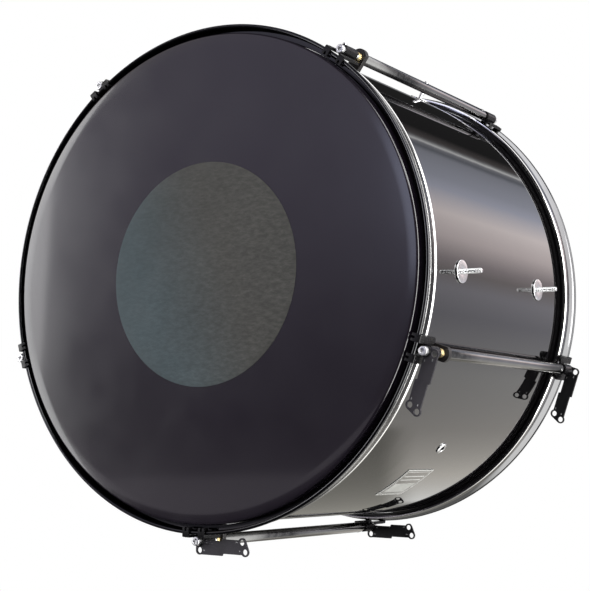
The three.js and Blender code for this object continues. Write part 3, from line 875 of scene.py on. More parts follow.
def patch_finish(sizes):
    """Grained film whose tone drifts slowly across it, a painted sheen as light on a sprayed coat gives,
    with painted shade and highlight along its creases, stronger towards the right.
    """
    made, shade, shader = surface(
        "patch_film", sizes.patch_low, sizes.patch_roughness, scale=9.0, tone=0.10, wear=0.05, IOR=1.45
    )
    where = shade.node("ShaderNodeTexCoord").outputs["Object"]
    parts = shade.node("ShaderNodeSeparateXYZ", Vector=where).outputs
    leaning = shade.maths("MULTIPLY_ADD", parts["Z"], PATCH_LEAN, parts["X"])
    drift = [share_of_radius * PATCH_RADIUS for share_of_radius in PATCH_DRIFT_SHARES]
    across = shade.ramp(leaning, *drift, smoothly=True)
    handled = shader.inputs["Base Color"].links[0].from_node
    shade.feed(handled.inputs["Colour"], mixed_colour(shade, across, sizes.patch_low, sizes.patch_high))
    grain = group_node(shade, "Grain", Scale=420.0, Points=0.5)
    bump(shade, shader, grain.outputs["Height"], strength=0.5, distance=PATCH_RELIEF)
    # Painted shade and highlight along the creases, stronger towards the right where the light falls
    creased = shade.node("ShaderNodeMapping", {"vector_type": "POINT"}, Vector=where)
    creased.inputs["Rotation"].default_value = (0, CREASE_ANGLE, 0)
    creased.inputs["Scale"].default_value = (1, 1, 2.6)
    creases = shade.node("ShaderNodeTexNoise", Vector=creased.outputs[0], Scale=110.0, Detail=6.0)
    creases.inputs["Roughness"].default_value = 0.72
    stronger = shade.ramp(parts["X"], -PATCH_RADIUS, PATCH_RADIUS, 0.4, 1.7)
    folds = shade.ramp(creases.outputs["Fac"], 0.4, 0.72, -0.28, 1.0)
    crease_shade = shade.maths("MULTIPLY", folds, stronger)
    uneven = shade.maths("MULTIPLY_ADD", crease_shade, CREASE_SHADE_STRENGTH, 1.0)
    crease_shaded = shade.node("ShaderNodeVectorMath", {"operation": "SCALE"}, Scale=uneven)
    shade.feed(crease_shaded.inputs[0], handled.outputs["Colour"])
    shade.feed(shader.inputs["Base Color"], crease_shaded.outputs[0])
    return made


def hoop_finish(sizes):
    """Plated metal with a darkened lip and a bright foot bead, told apart by the depth below a rim. The
    front hoop's band is painted shade: a darker copy of the rear band's plating.
    """
    made, shade, shader = surface(
        "polished_hoop", sizes.metal, sizes.metal_roughness, scale=11.0, tone=0.03, wear=0.03,
        Metallic=1.0,
    )
    where = shade.node("ShaderNodeTexCoord").outputs["Object"]
    along = shade.node("ShaderNodeSeparateXYZ", Vector=where).outputs["Y"]
    depth = shade.maths("SUBTRACT", HALF_SPAN, shade.maths("ABSOLUTE", along))
    fade = sizes.lip_overhang
    lip_end = sizes.lip_depth
    bead_start = HOOP_DEPTH - sizes.bead_depth
    off_lip = shade.ramp(depth, lip_end, lip_end + fade)
    on_bead = shade.ramp(depth, bead_start - fade / 2, bead_start)
    # Painted shade: the front hoop's band takes a darker copy of the plating
    front_band_shade_mask = shade.maths("LESS_THAN", along, 0.0)
    band = mixed_colour(shade, front_band_shade_mask, sizes.metal, sizes.front_band_painted_shade)
    tones = mixed_colour(shade, off_lip, sizes.lip_metal, band)
    tones = mixed_colour(shade, on_bead, tones, sizes.bead_metal)
    handled = shader.inputs["Base Color"].links[0].from_node
    shade.feed(handled.inputs["Colour"], tones)
    marks = group_node(shade, "Turning marks", Scale=2600.0)
    bump(shade, shader, marks.outputs["Height"], strength=0.015, distance=FINE_RELIEF)
    return made


def grained_finish(name, colour_value, roughness, grain, strength, relief=FINE_RELIEF, **handling):
    """A surface with fine grain, given by its scale, and no sparkle in it."""
    made, shade, shader = surface(name, colour_value, roughness, **handling)
    grained = group_node(shade, "Grain", Scale=grain)
    bump(shade, shader, grained.outputs["Height"], strength, relief)
    return made


def blackened_finish(sizes):
    handling = {"scale": 30.0, "tone": 0.2, "wear": 0.08}
    return grained_finish("blackened_ring", sizes.black, sizes.black_roughness, 1400.0, 0.2, **handling)


def coat_finish(name, coat, roughness, speckle=1700.0, light=0.01):
    """The fine black coat of the yokes and plates, with a slight sparkle in its grain."""
    handling = {"scale": 45.0, "tone": 0.18, "wear": 0.05}
    made, shade, shader = surface(name, coat, roughness, **handling, IOR=1.35)
    grain = group_node(shade, "Grain", Scale=speckle, Points=light)
    base = shader.inputs["Base Color"].links[0].from_socket
    lighter = shade.node("ShaderNodeMix", {"data_type": "RGBA", "blend_type": "ADD"})
    lighter.inputs["Factor"].default_value = 1.0
    shade.feed(lighter.inputs["A"], base)
    shade.feed(lighter.inputs["B"], grain.outputs["Points"])
    shade.feed(shader.inputs["Base Color"], lighter.outputs["Result"])
    bump(shade, shader, grain.outputs["Height"], strength=0.12, distance=FINE_RELIEF)
    return made


def plating_finish(name, sizes, roughness):
    handling = {"scale": 160.0, "tone": 0.04, "wear": 0.05}
    return surface(name, sizes.plating, roughness, **handling, Metallic=1.0)[0]


def brass_finish(sizes):
    handling = {"scale": 220.0, "tone": 0.1, "wear": 0.06}
    return surface("turned_brass", sizes.brass, sizes.brass_roughness, **handling, Metallic=1.0)[0]


def nylon_finish(sizes):
    handling = {"scale": 90.0, "tone": 0.2, "wear": 0.08, "relief": NYLON_RELIEF}
    return grained_finish("moulded_nylon", sizes.nylon, sizes.nylon_roughness, 2400.0, 0.25, **handling)


def tube_finish(sizes):
    made, shade, shader = surface(
        "anodised_tube", sizes.anodised, sizes.anodised_roughness, scale=30.0, tone=0.08, wear=0.05,
        Metallic=1.0,
    )
    lines = group_node(shade, "Drawn lines", Scale=1200.0)
    bump(shade, shader, lines.outputs["Height"], strength=0.004, distance=FINE_RELIEF)
    return made


def plain_finish(name, colour_value, roughness, **constants):
    """An even printed, painted or moulded surface."""
    handling = {"scale": 70.0, "tone": 0.08, "wear": 0.04}
    return grained_finish(name, colour_value, roughness, 2000.0, 0.06, **handling, **constants)


# Pieces

def shell_mesh(sizes, studs, trim):
    """The wall with rounded bearing edges, drilled for the studs and the vent."""
    edge = SHELL_HIGH.y
    inner = SHELL_RADIUS - sizes.wall
    bevel_foot = edge - (sizes.wall - sizes.edge_round)
    corners = [
        (SHELL_RADIUS, -edge, sizes.edge_round),
        (SHELL_RADIUS, edge, sizes.edge_round),
        (SHELL_RADIUS - sizes.edge_round, edge, 0),
        (inner, bevel_foot, 0),
        (inner, -bevel_foot, 0),
        (SHELL_RADIUS - sizes.edge_round, -edge, 0),
    ]
    outline = rounded(corners)
    bands = 20
    filled = []
    for index, (radius, y) in enumerate(outline):
        filled.append((radius, y))
        next_radius, next_y = outline[(index + 1) % len(outline)]
        if radius == next_radius and abs(next_y - y) > edge:
            filled += [(radius, y + (next_y - y) * band / bands) for band in range(1, bands)]
    wall = turned(filled, RING_STEPS)
    drills = []
    places = [(seat_of(end, pair), studs.diameter / 2 + studs.gap) for end in ENDS for pair in STUD_PAIRS]
    places.append((seat_frame(trim.vent_angle, 0), trim.vent_barrel / 2 + studs.gap))
    for matrix, radius in places:
        drill = bar(radius, -2 * sizes.wall, sizes.wall, BOLT_STEPS)
        drill.transform(matrix @ Matrix.Rotation(QUARTER_TURN, 4, "X"))
        drills.append(drill)
    return radial_normals(united([wall], drills))


def radial_normals(mesh):
    """Smooth shading that stays true to the cylinder where holes have cut its faces."""
    smooth(mesh)
    normals = []
    for face in mesh.polygons:
        for corner in face.loop_indices:
            place = mesh.vertices[mesh.loops[corner].vertex_index].co
            out = Vector((place.x, 0, place.z))
            on_skin = abs(out.length - SHELL_RADIUS) < SKIN_SLACK
            outward = face.normal.dot(out.normalized()) > OUTWARD_SHARE
            straight = abs(face.normal.y) < LEVEL_SHARE and outward
            own = mesh.corner_normals[corner].vector
            normals.append(out.normalized() if on_skin and straight else own.copy())
    mesh.normals_split_custom_set(normals)
    return mesh


def seat_of(end, pair):
    """The seat of a stud on the shell, from the middle of its washer's box."""
    low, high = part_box(f"{end}_stud_washer_{pair}")
    middle = (low + high) / 2
    return seat_frame(math.atan2(middle.z, middle.x), middle.y)


class DRUM_OT_shell(bpy.types.Operator):
    """Turns the shell and gives it its black lacquer"""

    bl_idname = "drum.shell"
    bl_label = "Shell"

    def execute(self, context):
        sizes = context.scene.drum_shell
        mesh = shell_mesh(sizes, context.scene.drum_studs, context.scene.drum_trim)
        finish = lacquer_finish(sizes)
        piece("lacquered_shell", mesh, Matrix(), "drum", finish, "black_lacquer", "shell")
        return {"FINISHED"}


def head_mesh(sizes):
    """Flat film, a rounded collar and a skirt down to the stiff ring."""
    collar_foot = HEAD_FACE + sizes.collar
    middle = SKIRT_RADIUS - sizes.collar
    inner = sizes.collar - sizes.film
    outer_arc = arc((middle, collar_foot), sizes.collar, -QUARTER_TURN, 0)
    inner_arc = arc((middle, collar_foot), inner, 0, -QUARTER_TURN)
    rings = 24
    face = [(middle * ring / rings, HEAD_FACE) for ring in range(rings)]
    back = [(middle * ring / rings, HEAD_FACE + sizes.film) for ring in range(rings - 1, -1, -1)]
    skirt = [(SKIRT_RADIUS, SKIRT_FOOT), (SKIRT_RADIUS - sizes.film, SKIRT_FOOT)]
    head = turned([*face, *outer_arc, *skirt, *inner_arc, *back], RING_STEPS)
    smooth(head)
    return head


def patch_mesh(sizes):
    """A thin disc with softened edges."""
    face = PATCH_LOW.y + HALF_SPAN
    back = PATCH_HIGH.y + HALF_SPAN
    edge = sizes.patch_edge
    corners = [(0, face, 0), (PATCH_RADIUS, face, edge), (PATCH_RADIUS, back, edge), (0, back, 0)]
    outline = rounded(corners)
    rings = 12
    filled = [(0, face)]
    filled += [((PATCH_RADIUS - edge) * ring / rings, face) for ring in range(1, rings)]
    patch = turned(filled + outline[1:], RING_STEPS)
    smooth(patch)
    return patch


class DRUM_OT_heads(bpy.types.Operator):
    """Makes both heads and their grained patches"""

    bl_idname = "drum.heads"
    bl_label = "Heads"

    def execute(self, context):
        sizes = context.scene.drum_heads
        made = (
            ("head_film", head_mesh(sizes), film_finish(sizes), "head_film", "head"),
            ("grained_patch", patch_mesh(sizes), patch_finish(sizes), "patch_film", "head_patch"),
        )
        for end in ENDS:
            for name, mesh, finish, slot, node in made:
                piece(f"{end}_{name}", mesh, end_frame(end), "drum", finish, slot, f"{end}_{node}")
        return {"FINISHED"}


def hoop_outline(sizes):
    """The hoop's section: round lip, band flared in a hollow curve, round foot bead and shoulder."""
    lip = sizes.lip_width / 2
    centre = (LIP_RADIUS - lip, lip)
    band_top_radius = LIP_RADIUS - sizes.lip_overhang
    foot_radius = band_top_radius - sizes.flare
    bead_round = (sizes.bead_depth**2 / 4 + sizes.bead_rise**2) / (2 * sizes.bead_rise)
    bead_turn = math.asin(sizes.bead_depth / 2 / bead_round)
    band_top = sizes.lip_depth + sizes.lip_overhang
    bead_top = HOOP_DEPTH - sizes.bead_depth
    shoulder_foot = sizes.shoulder_top + sizes.shoulder_thickness
    shoulder_inner = SKIRT_RADIUS + sizes.wall / 4
    reach = bead_top - band_top
    hollow = (reach**2 + sizes.flare**2) / (2 * sizes.flare)

    def band(depth, inwards=0.0):
        short = bead_top - depth
        return foot_radius + hollow - math.sqrt(hollow**2 - short**2) - inwards

    def band_points(start, end, inwards=0.0, steps=12):
        depths = [start + (end - start) * step / steps for step in range(steps + 1)]
        return [(band(depth, inwards), depth, 0) for depth in depths]

    def plain_corners(points):
        return [(radius, depth, 0) for radius, depth in points]

    fine = sizes.lip_overhang / 2
    outer_end = FULL_TURN + math.acos((lip - sizes.lip_overhang) / lip)
    inner_end = math.acos((lip - sizes.lip_overhang - sizes.wall) / lip)
    bead_centre = (foot_radius + sizes.bead_rise - bead_round, HOOP_DEPTH - sizes.bead_depth / 2)
    return rounded([
        *plain_corners(arc(centre, lip, inner_end, outer_end, steps=28)),
        *band_points(band_top, bead_top)[:-1],
        *plain_corners(arc(bead_centre, bead_round, -bead_turn, bead_turn, steps=10)),
        (foot_radius - sizes.wall, HOOP_DEPTH, fine),
        *band_points(bead_top, shoulder_foot, sizes.wall, steps=6),
        (shoulder_inner, shoulder_foot, fine),
        (shoulder_inner, sizes.shoulder_top, fine),
        *band_points(sizes.shoulder_top, band_top, sizes.wall, steps=6),
    ], steps=6)


def stiff_outline(edge):
    """The section of the head's stiff ring, with its edges rounded by a radius."""
    inner = SKIRT_RADIUS + (PATCH_HIGH.y - PATCH_LOW.y) - LIP_RADIUS
    outer = FLESH_HIGH.x - LIP_RADIUS
    top = FLESH_LOW.y + HALF_SPAN
    foot = FLESH_HIGH.y + HALF_SPAN
    return rounded([(inner, top, edge), (outer, top, edge), (outer, foot, edge), (inner, foot, edge)])


class DRUM_OT_hoops(bpy.types.Operator):
    """Spins both polished hoops and the heads' stiff rings"""

    bl_idname = "drum.hoops"
    bl_label = "Hoops"

    def execute(self, context):
        sizes = context.scene.drum_hoops
        polished = hoop_finish(sizes)
        blackened = blackened_finish(sizes)
        tree = ring_tree()
        section = [(radius - LIP_RADIUS, depth) for radius, depth in hoop_outline(sizes)]
        stiff = stiff_outline(sizes.lip_overhang)
        made = (
            ("polished_hoop", section, polished, "polished_hoop", "hoop"),
            ("stiff_ring", stiff, blackened, "blackened_ring", "flesh_hoop"),
        )
        for name, outline, finish, slot, node in made:
            values = {"Radius": LIP_RADIUS, "Steps": RING_STEPS, "Material": finish}
            ring = grown(tree, outline_mesh(outline), **values)
            smooth(ring)
            for end in ENDS:
                piece(f"{end}_{name}", ring, end_frame(end), "drum", finish, slot, f"{end}_{node}")
        return {"FINISHED"}


def threaded(tree, finish, radius, pitch, start, length):
    """A helix of thread about Y, which stands out of a core one ridge smaller."""
    ridge = pitch / 2
    values = {"Radius": radius - ridge, "Pitch": pitch, "Length": length, "Start": start}
    return grown(tree, bpy.data.meshes.new("empty"), Ridge=ridge, Material=finish, **values)


def bolt_mesh(sizes, tree, finish):
    """Socket screw with rounded head edges and a real thread below its plain shank."""
    face = sizes.face
    head = sizes.head / 2
    thread = sizes.thread / 2
    core = thread - sizes.pitch / 2
    seat = face + sizes.head_height
    plain_end = seat + sizes.plain
    tip = seat + sizes.length
    small = sizes.head_edge / 3
    blank = turned(rounded([
        (0, face, 0),
        (head, face, sizes.head_edge),
        (head, seat, small),
        (thread, seat, 0),
        (thread, plain_end, small),
        (core, plain_end, 0),
        (core, tip, small),
        (0, tip, 0),
    ]), BOLT_STEPS)
    socket_radius = sizes.socket / 2 / math.cos(math.pi / SOCKET_SIDES)
    socket = bar(socket_radius, face - sizes.socket_depth, face + sizes.socket_depth, SOCKET_SIDES)
    cone = turned([
        (0, face - small),
        (socket_radius + small, face - small),
        (0, face + socket_radius),
    ], BOLT_STEPS)
    cut = united([blank], [socket, cone])
    smooth(cut, math.radians(30))
    thread_length = tip - plain_end - sizes.pitch
    helix = threaded(tree, finish, thread, sizes.pitch, plain_end, thread_length)
    return joined([cut, helix])


def bolt_washer_mesh(sizes, gap):
    """The small washer that lies a gap below a bolt's head."""
    top = sizes.face + sizes.head_height + gap
    foot = top + sizes.washer_thickness
    edge = sizes.head_edge / 2
    bore = sizes.thread / 2 + gap
    washer = turned(rounded([
        (bore, top, edge),
        (sizes.washer / 2, top, edge),
        (sizes.washer / 2, foot, edge),
        (bore, foot, edge),
    ]), BOLT_STEPS)
    smooth(washer)
    return washer


class DRUM_OT_bolts(bpy.types.Operator):
    """Makes the tension bolts and the washers under the front ones"""

    bl_idname = "drum.bolts"
    bl_label = "Tension bolts"

    def execute(self, context):
        sizes = context.scene.drum_bolts
        plated = plating_finish("satin_plating", sizes, sizes.plating_roughness)
        yokes = context.scene.drum_yokes
        black = coat_finish("washer_coat", yokes.coat, yokes.coat_roughness)
        bolt = bolt_mesh(sizes, thread_tree(), plated)
        washer = bolt_washer_mesh(sizes, context.scene.drum_studs.gap)
        for place in ROD_JOINTS:
            for end in ENDS:
                node = f"{end}_bolt_{place}"
                piece(f"{node}_plated", bolt, rod_frame(place, end), node, plated, "chrome_steel", node)
        for place in PLATE_JOINTS:
            matrix = rod_frame(place, "front")
            node = f"front_washer_{place}"
            body = f"front_bolt_{place}"
            piece(f"{node}_turned", washer, matrix, body, black, "black_steel", node)
        return {"FINISHED"}


def yoke_mesh(sizes, start, ribs):
    """A bored boss on a web with two claws, each hooked over the rolled lip, with ribs along it."""
    end = sizes.boss_end
    outer = sizes.spacing / 2 + sizes.claw_width / 2
    foot = LIP_RADIUS + YOKE_GAP - ROD_RADIUS
    top = foot + sizes.claw_thickness
    tip_top = math.sqrt(LIP_INNER**2 - outer**2) - ROD_RADIUS - 2 * YOKE_GAP
    tip_foot = tip_top - sizes.tip
    web_start = end - sizes.web
    front = -YOKE_GAP - sizes.hook
    round_edge = sizes.edge * 2
    arm_end = end - sizes.claw_width / 2
    claw_outline = rounded([
        (arm_end, foot, 0),
        (arm_end, top, 0),
        (front, top, sizes.bevel * 1.5),
        (front, tip_foot, round_edge),
        (sizes.hook_reach, tip_foot, round_edge),
        (sizes.hook_reach, tip_top, round_edge),
        (-YOKE_GAP, tip_top, 0),
        (-YOKE_GAP, foot, round_edge),
    ], steps=3)
    lay_down = Matrix(((0, 0, 1, 0), (1, 0, 0, 0), (0, 1, 0, 0), (0, 0, 0, 1)))
    parts = [bar(sizes.boss / 2, start, end)]
    web_end = end - sizes.bevel * 2
    web_side = outer - sizes.bevel
    parts.append(block((-web_side, web_start, foot), (web_side, web_end, top - sizes.rib)))
    parts.append(block((-sizes.neck / 2, web_start, foot), (sizes.neck / 2, end, 0)))
    cuts = [bar(YOKE_BORE, start - sizes.web, end + sizes.web, BOLT_STEPS)]
    for side in (-1, 1):
        middle = side * sizes.spacing / 2
        claw = extruded(claw_outline, middle - sizes.claw_width / 2, middle + sizes.claw_width / 2)
        claw.transform(lay_down)
        parts.append(claw)
        round_end = bar(sizes.claw_width / 2, -top, -foot)
        at_arm_end = Matrix.Translation((middle, arm_end, 0))
        round_end.transform(at_arm_end @ Matrix.Rotation(-QUARTER_TURN, 4, "X"))
        parts.append(round_end)
        notch = sizes.notch / 2
        cuts.append(block(
            (middle - notch, front - sizes.hook, tip_foot - sizes.tip),
            (middle + notch, sizes.hook_reach + sizes.hook, tip_foot + sizes.notch_height),
        ))
    body = softened(united(parts, cuts), sizes.edge)
    rib_length = end - 3 * sizes.bevel
    rib_outline = rounded([
        (0, sizes.bevel, 0),
        (sizes.rib, sizes.bevel, sizes.rib),
        (sizes.rib, rib_length, sizes.rib),
        (0, rib_length, 0),
    ])
    rib = turned(rib_outline, RIB_STEPS)
    rib.transform(Matrix.Translation((0, 0, top)))
    smooth(rib)
    rows = []
    rib_step = sizes.claw_width / 3.6
    for side in (-1, 1):
        first = side * sizes.spacing / 2 - rib_step
        rows.append(grown(ribs, rib.copy(), Count=3, Spacing=rib_step, Start=first))
    return joined([body, *rows])


class DRUM_OT_yokes(bpy.types.Operator):
    """Casts the yokes that hook over both hoops"""

    bl_idname = "drum.yokes"
    bl_label = "Yokes"

    def execute(self, context):
        sizes = context.scene.drum_yokes
        plates = context.scene.drum_plates
        bolts = context.scene.drum_bolts
        gap = context.scene.drum_studs.gap
        black = coat_finish("black_coat", sizes.coat, sizes.coat_roughness)
        ribs = rib_tree()
        stack = plates.thickness + gap
        starts = {
            ("front", True): plates.front_face + stack,
            ("front", False): bolts.face + bolts.head_height + gap,
            ("rear", True): plates.rear_face + stack,
            ("rear", False): plates.rear_face,
        }
        for (end, plated), start in starts.items():
            mesh = yoke_mesh(sizes, start, ribs)
            for place in ROD_JOINTS:
                if (place in PLATE_JOINTS) != plated:
                    continue
                node = f"{end}_yoke_{place}"
                piece(f"{node}_cast", mesh, rod_frame(place, end), "drum", black, "black_steel", node)
        return {"FINISHED"}


def insert_mesh(sizes, bore, gap):
    """Turned brass sleeve with two rings on its bare neck."""
    radius = sizes.insert / 2
    ring = radius + sizes.insert_ring
    edge = sizes.insert_ring / 2.5
    start = sizes.insert_face
    end = sizes.front + sizes.insert_grip
    foot = sizes.flange_face - gap
    wide = (foot - start) / 4.6
    corners = [(bore, start, edge), (radius, start, edge)]
    for top in (start + wide, start + wide * 3):
        corners += [(radius, top, edge), (ring, top, edge)]
        corners += [(ring, top + wide, edge), (radius, top + wide, edge)]
    corners += [(radius, end, edge), (bore, end, edge)]
    made = turned(rounded(corners, steps=3), BOLT_STEPS)
    smooth(made)
    return made


def flange_mesh(sizes, gap):
    """Guide flange: a thick plate with a round top, which stands on the shell."""
    half = sizes.flange_width / 2
    foot = SHELL_RADIUS + gap - ROD_RADIUS
    corner = math.acos(half / sizes.flange_radius)
    outline = [(-half, foot), (half, foot)]
    outline += arc((0, 0), sizes.flange_radius, corner, math.pi - corner, steps=24)
    plate = extruded(outline, -sizes.flange_face - sizes.flange_thickness, -sizes.flange_face)
    plate.transform(Matrix.Rotation(QUARTER_TURN, 4, "X"))
    bore = bar(sizes.insert / 2 + gap, 0, sizes.front + sizes.flange_thickness, BOLT_STEPS)
    return softened(united([plate], [bore]), sizes.edge)


def pin_mesh(sizes, radius):
    """Small pin through a tube's wall, hollowed at its top, along Y."""
    low = radius - sizes.pin_depth
    top = radius + sizes.pin_rise
    pin = turned(rounded([
        (0, low, 0),
        (sizes.pin / 2, low, 0),
        (sizes.pin / 2, top, sizes.edge),
        (sizes.pin / 4, top, sizes.edge / 3),
        (sizes.pin / 5, radius, 0),
        (0, radius, 0),
    ]), PIN_STEPS)
    smooth(pin)
    return pin


def tube_mesh(sizes, bore, gap):
    """Tension tube with a turned nose at its rear end and a small pin beside it."""
    radius = sizes.diameter / 2
    rear = 2 * HALF_SPAN - sizes.rear
    edge = sizes.edge
    mouth = sizes.insert / 2 + gap
    shoulder = rear - sizes.nose
    bore_end = rear - sizes.thread_length
    corners = [
        (mouth, sizes.front, edge),
        (radius, sizes.front, edge),
        (radius, shoulder, edge * 1.4),
        (sizes.nose_diameter / 2, shoulder, edge / 2),
        (sizes.nose_diameter / 2, rear, edge * 1.6),
        (bore, rear, edge),
        (bore, bore_end, 0),
        (mouth, bore_end, 0),
    ]
    tube = turned(rounded(corners), TUBE_STEPS)
    smooth(tube)
    pin = pin_mesh(sizes, radius)
    at_pin = Matrix.Translation((0, rear - sizes.pin_place, 0))
    pin.transform(at_pin @ Matrix.Rotation(QUARTER_TURN, 4, "X"))
    return joined([tube, pin])


class DRUM_OT_tubes(bpy.types.Operator):
    """Makes the tension tubes with their brass inserts and guide flanges"""

    bl_idname = "drum.tubes"
    bl_label = "Tension tubes"

    def execute(self, context):
        sizes = context.scene.drum_tubes
        gap = context.scene.drum_studs.gap
        bore = context.scene.drum_bolts.thread / 2 + gap
        made = (
            ("tube_insert", "turned", insert_mesh(sizes, bore, gap), brass_finish(sizes), "brass"),
            ("tube_flange", "moulded", flange_mesh(sizes, gap), nylon_finish(sizes), "black_nylon"),
            ("tension_tube", "anodised", tube_mesh(sizes, bore, gap), tube_finish(sizes), "dark_tube"),
        )
        for kind, word, mesh, finish, slot in made:
            for place in ROD_JOINTS:
                node = f"{kind}_{place}"
                piece(f"{node}_{word}", mesh, rod_frame(place, "front"), "drum", finish, slot, node)
        return {"FINISHED"}


def plate_eyes(sizes):
    """The four eyes as [along, outwards], the bolt's own first."""
    return [
        (0, 0),
        (0, sizes.spread),
        (sizes.length - sizes.far_shift, sizes.far_offset),
        (sizes.length, sizes.spread + sizes.far_offset),
    ]


def plate_outline(sizes):
    """The plate's edge, anticlockwise, with an arc about each eye."""
    bolt, near, inner, outer = plate_eyes(sizes)
    eye = sizes.eye
    far_in = sizes.inner - sizes.joggle
    far_out = sizes.outer - sizes.joggle
    step = sizes.joggle_along
    lean = math.atan2(outer[1] - inner[1], outer[0] - inner[0]) - QUARTER_TURN
    meets = math.asin(sizes.inner / eye)
    far_meets = -math.pi - math.asin((far_in - inner[1]) / eye)
    top_meets = math.pi - math.asin((far_out - outer[1]) / eye)
    near_meets = math.asin((sizes.outer - near[1]) / eye)
    outline = arc(bolt, eye, -math.pi, meets)
    outline += [(step, sizes.inner), (step + sizes.joggle / 4, far_in)]
    outline += arc(inner, eye, far_meets, lean)
    outline += arc(outer, eye, lean, top_meets)
    back = step + sizes.joggle / 2
    outline += [(back + sizes.joggle / 4, far_out), (back, sizes.outer)]
    outline += arc(near, eye, near_meets, math.pi)
    return outline


def plate_mesh(sizes, face, side):
    """A flat plate with four eyes and rounded edges."""
    outline = [(side * along, out) for along, out in plate_outline(sizes)]
    back = face + sizes.thickness
    slab = extruded(outline, -back, -face)
    slab.transform(Matrix.Rotation(QUARTER_TURN, 4, "X"))
    through = (face - sizes.thickness, back + sizes.thickness)
    holes = []
    for along, out in plate_eyes(sizes):
        holes.append(bar(sizes.hole / 2, *through, EYE_STEPS, (side * along, out)))
    return softened(united([slab], holes), sizes.edge)


def plate_marks(sizes):
    """The plain digits, each with its place beside an eye as along and outwards."""
    bolt, near, inner, outer = plate_eyes(sizes)
    away = sizes.eye + sizes.digit / 2
    return [
        ("1", bolt[0] + away + sizes.digit, bolt[1] + sizes.digit / 2),
        ("2", near[0] + away, near[1]),
        ("3", inner[0] - away, inner[1]),
        ("4", outer[0] - away, outer[1] - sizes.digit / 4),
    ]


def digit_mesh(sizes, digit, along, out, face, side, towards):
    """A plain digit printed on a plate, just proud of it, with its foot towards the far eyes.

    Towards is 1 on a plate's outer face and -1 on the one that faces the other head.
    """
    text = bpy.data.curves.new("digit", "FONT")
    text.body = digit
    text.size = sizes.digit
    text.extrude = sizes.print_rise
    text.align_x = "CENTER"
    text.align_y = "CENTER"
    mesh = released(held(text))
    axes = Matrix(((0, 0, side * towards), (-side, 0, 0), (0, -towards, 0))).transposed()
    mesh.transform(Matrix.Translation((side * along, face, out)) @ axes.to_4x4())
    return mesh


class DRUM_OT_plates(bpy.types.Operator):
    """Cuts the carrier plates and prints the plain digits beside their eyes"""

    bl_idname = "drum.plates"
    bl_label = "Carrier plates"

    def execute(self, context):
        sizes = context.scene.drum_plates
        rough = sizes.coat_roughness
        coats = {
            # The front plates' lighter colour and stronger light points are painted light on the same
            # black coat
            "front": coat_finish("front_plate_coat_painted_light", sizes.front_coat_painted_light, rough, speckle=1300.0, light=0.07),
            "rear": coat_finish("rear_plate_coat", sizes.rear_coat, rough, speckle=1500.0, light=0.01),
        }
        printed = plain_finish("digit_print", sizes.print, sizes.print_roughness)
        faces = {"front": sizes.front_face, "rear": sizes.rear_face}
        for place, joint in PLATE_JOINTS.items():
            turn = -joint["axis"][1]
            for end, face in faces.items():
                side = turn if end == "front" else -turn
                matrix = rod_frame(place, end)
                node = f"{end}_carrier_plate_{place}"
                plate = plate_mesh(sizes, face, side)
                piece(f"{node}_coated", plate, matrix, node, coats[end], "black_steel", node)
                towards = 1 if end == "front" else -1
                shown = face if end == "front" else face + sizes.thickness
                digits = [digit_mesh(sizes, *mark, shown, side, towards) for mark in plate_marks(sizes)]
                piece(f"{node}_digits", joined(digits), matrix, node, printed, "black_steel")
        return {"FINISHED"}


def stud_mesh(sizes, wall, pitch, tree, finish):
    """Headed screw with a real thread on the length that stands out. y is the height."""
    radius = sizes.diameter / 2
    core = radius - pitch / 2
    inner = -(wall + sizes.head_gap)
    head_foot = inner - sizes.head_thickness
    edge = sizes.edge
    blank = turned(rounded([
        (0, head_foot, 0),
        (sizes.head / 2, head_foot, edge * 2),
        (sizes.head / 2, inner, edge),
        (core, inner, 0),
        (core, sizes.rise, edge * 2),
        (0, sizes.rise, 0),
    ]), BOLT_STEPS)
    smooth(blank)
    start = -pitch
    length = sizes.rise - start - pitch * 1.5
    thread = threaded(tree, finish, radius, pitch, start, length)
    return joined([blank, thread])


def washer_mesh(sizes):
    """Wide plain washer with rounded edges."""
    low = sizes.gap
    high = low + sizes.washer_thickness
    edge = sizes.washer_edge
    bore = sizes.diameter / 2 + sizes.gap
    made = turned(rounded([
        (bore, low, edge / 2),
        (sizes.washer / 2, low, edge),
        (sizes.washer / 2, high, edge),
        (bore, high, edge / 2),
    ]), TUBE_STEPS * 2)
    smooth(made)
    return made


class DRUM_OT_studs(bpy.types.Operator):
    """Makes the accessory studs and their wide washers"""

    bl_idname = "drum.studs"
    bl_label = "Accessory studs"

    def execute(self, context):
        sizes = context.scene.drum_studs
        bolts = context.scene.drum_bolts
        plated = plating_finish("polished_plating", bolts, bolts.polish_roughness)
        wall = context.scene.drum_shell.wall
        made = (
            ("stud", "threaded", stud_mesh(sizes, wall, bolts.pitch, thread_tree(), plated)),
            ("stud_washer", "plated", washer_mesh(sizes)),
        )
        upright = Matrix.Rotation(QUARTER_TURN, 4, "X")
        for pair in STUD_PAIRS:
            for end in ENDS:
                seat = seat_of(end, pair) @ upright
                for kind, word, mesh in made:
                    node = f"{end}_{kind}_{pair}"
                    piece(f"{node}_{word}", mesh, seat, "drum", plated, "chrome_steel", node)
        return {"FINISHED"}


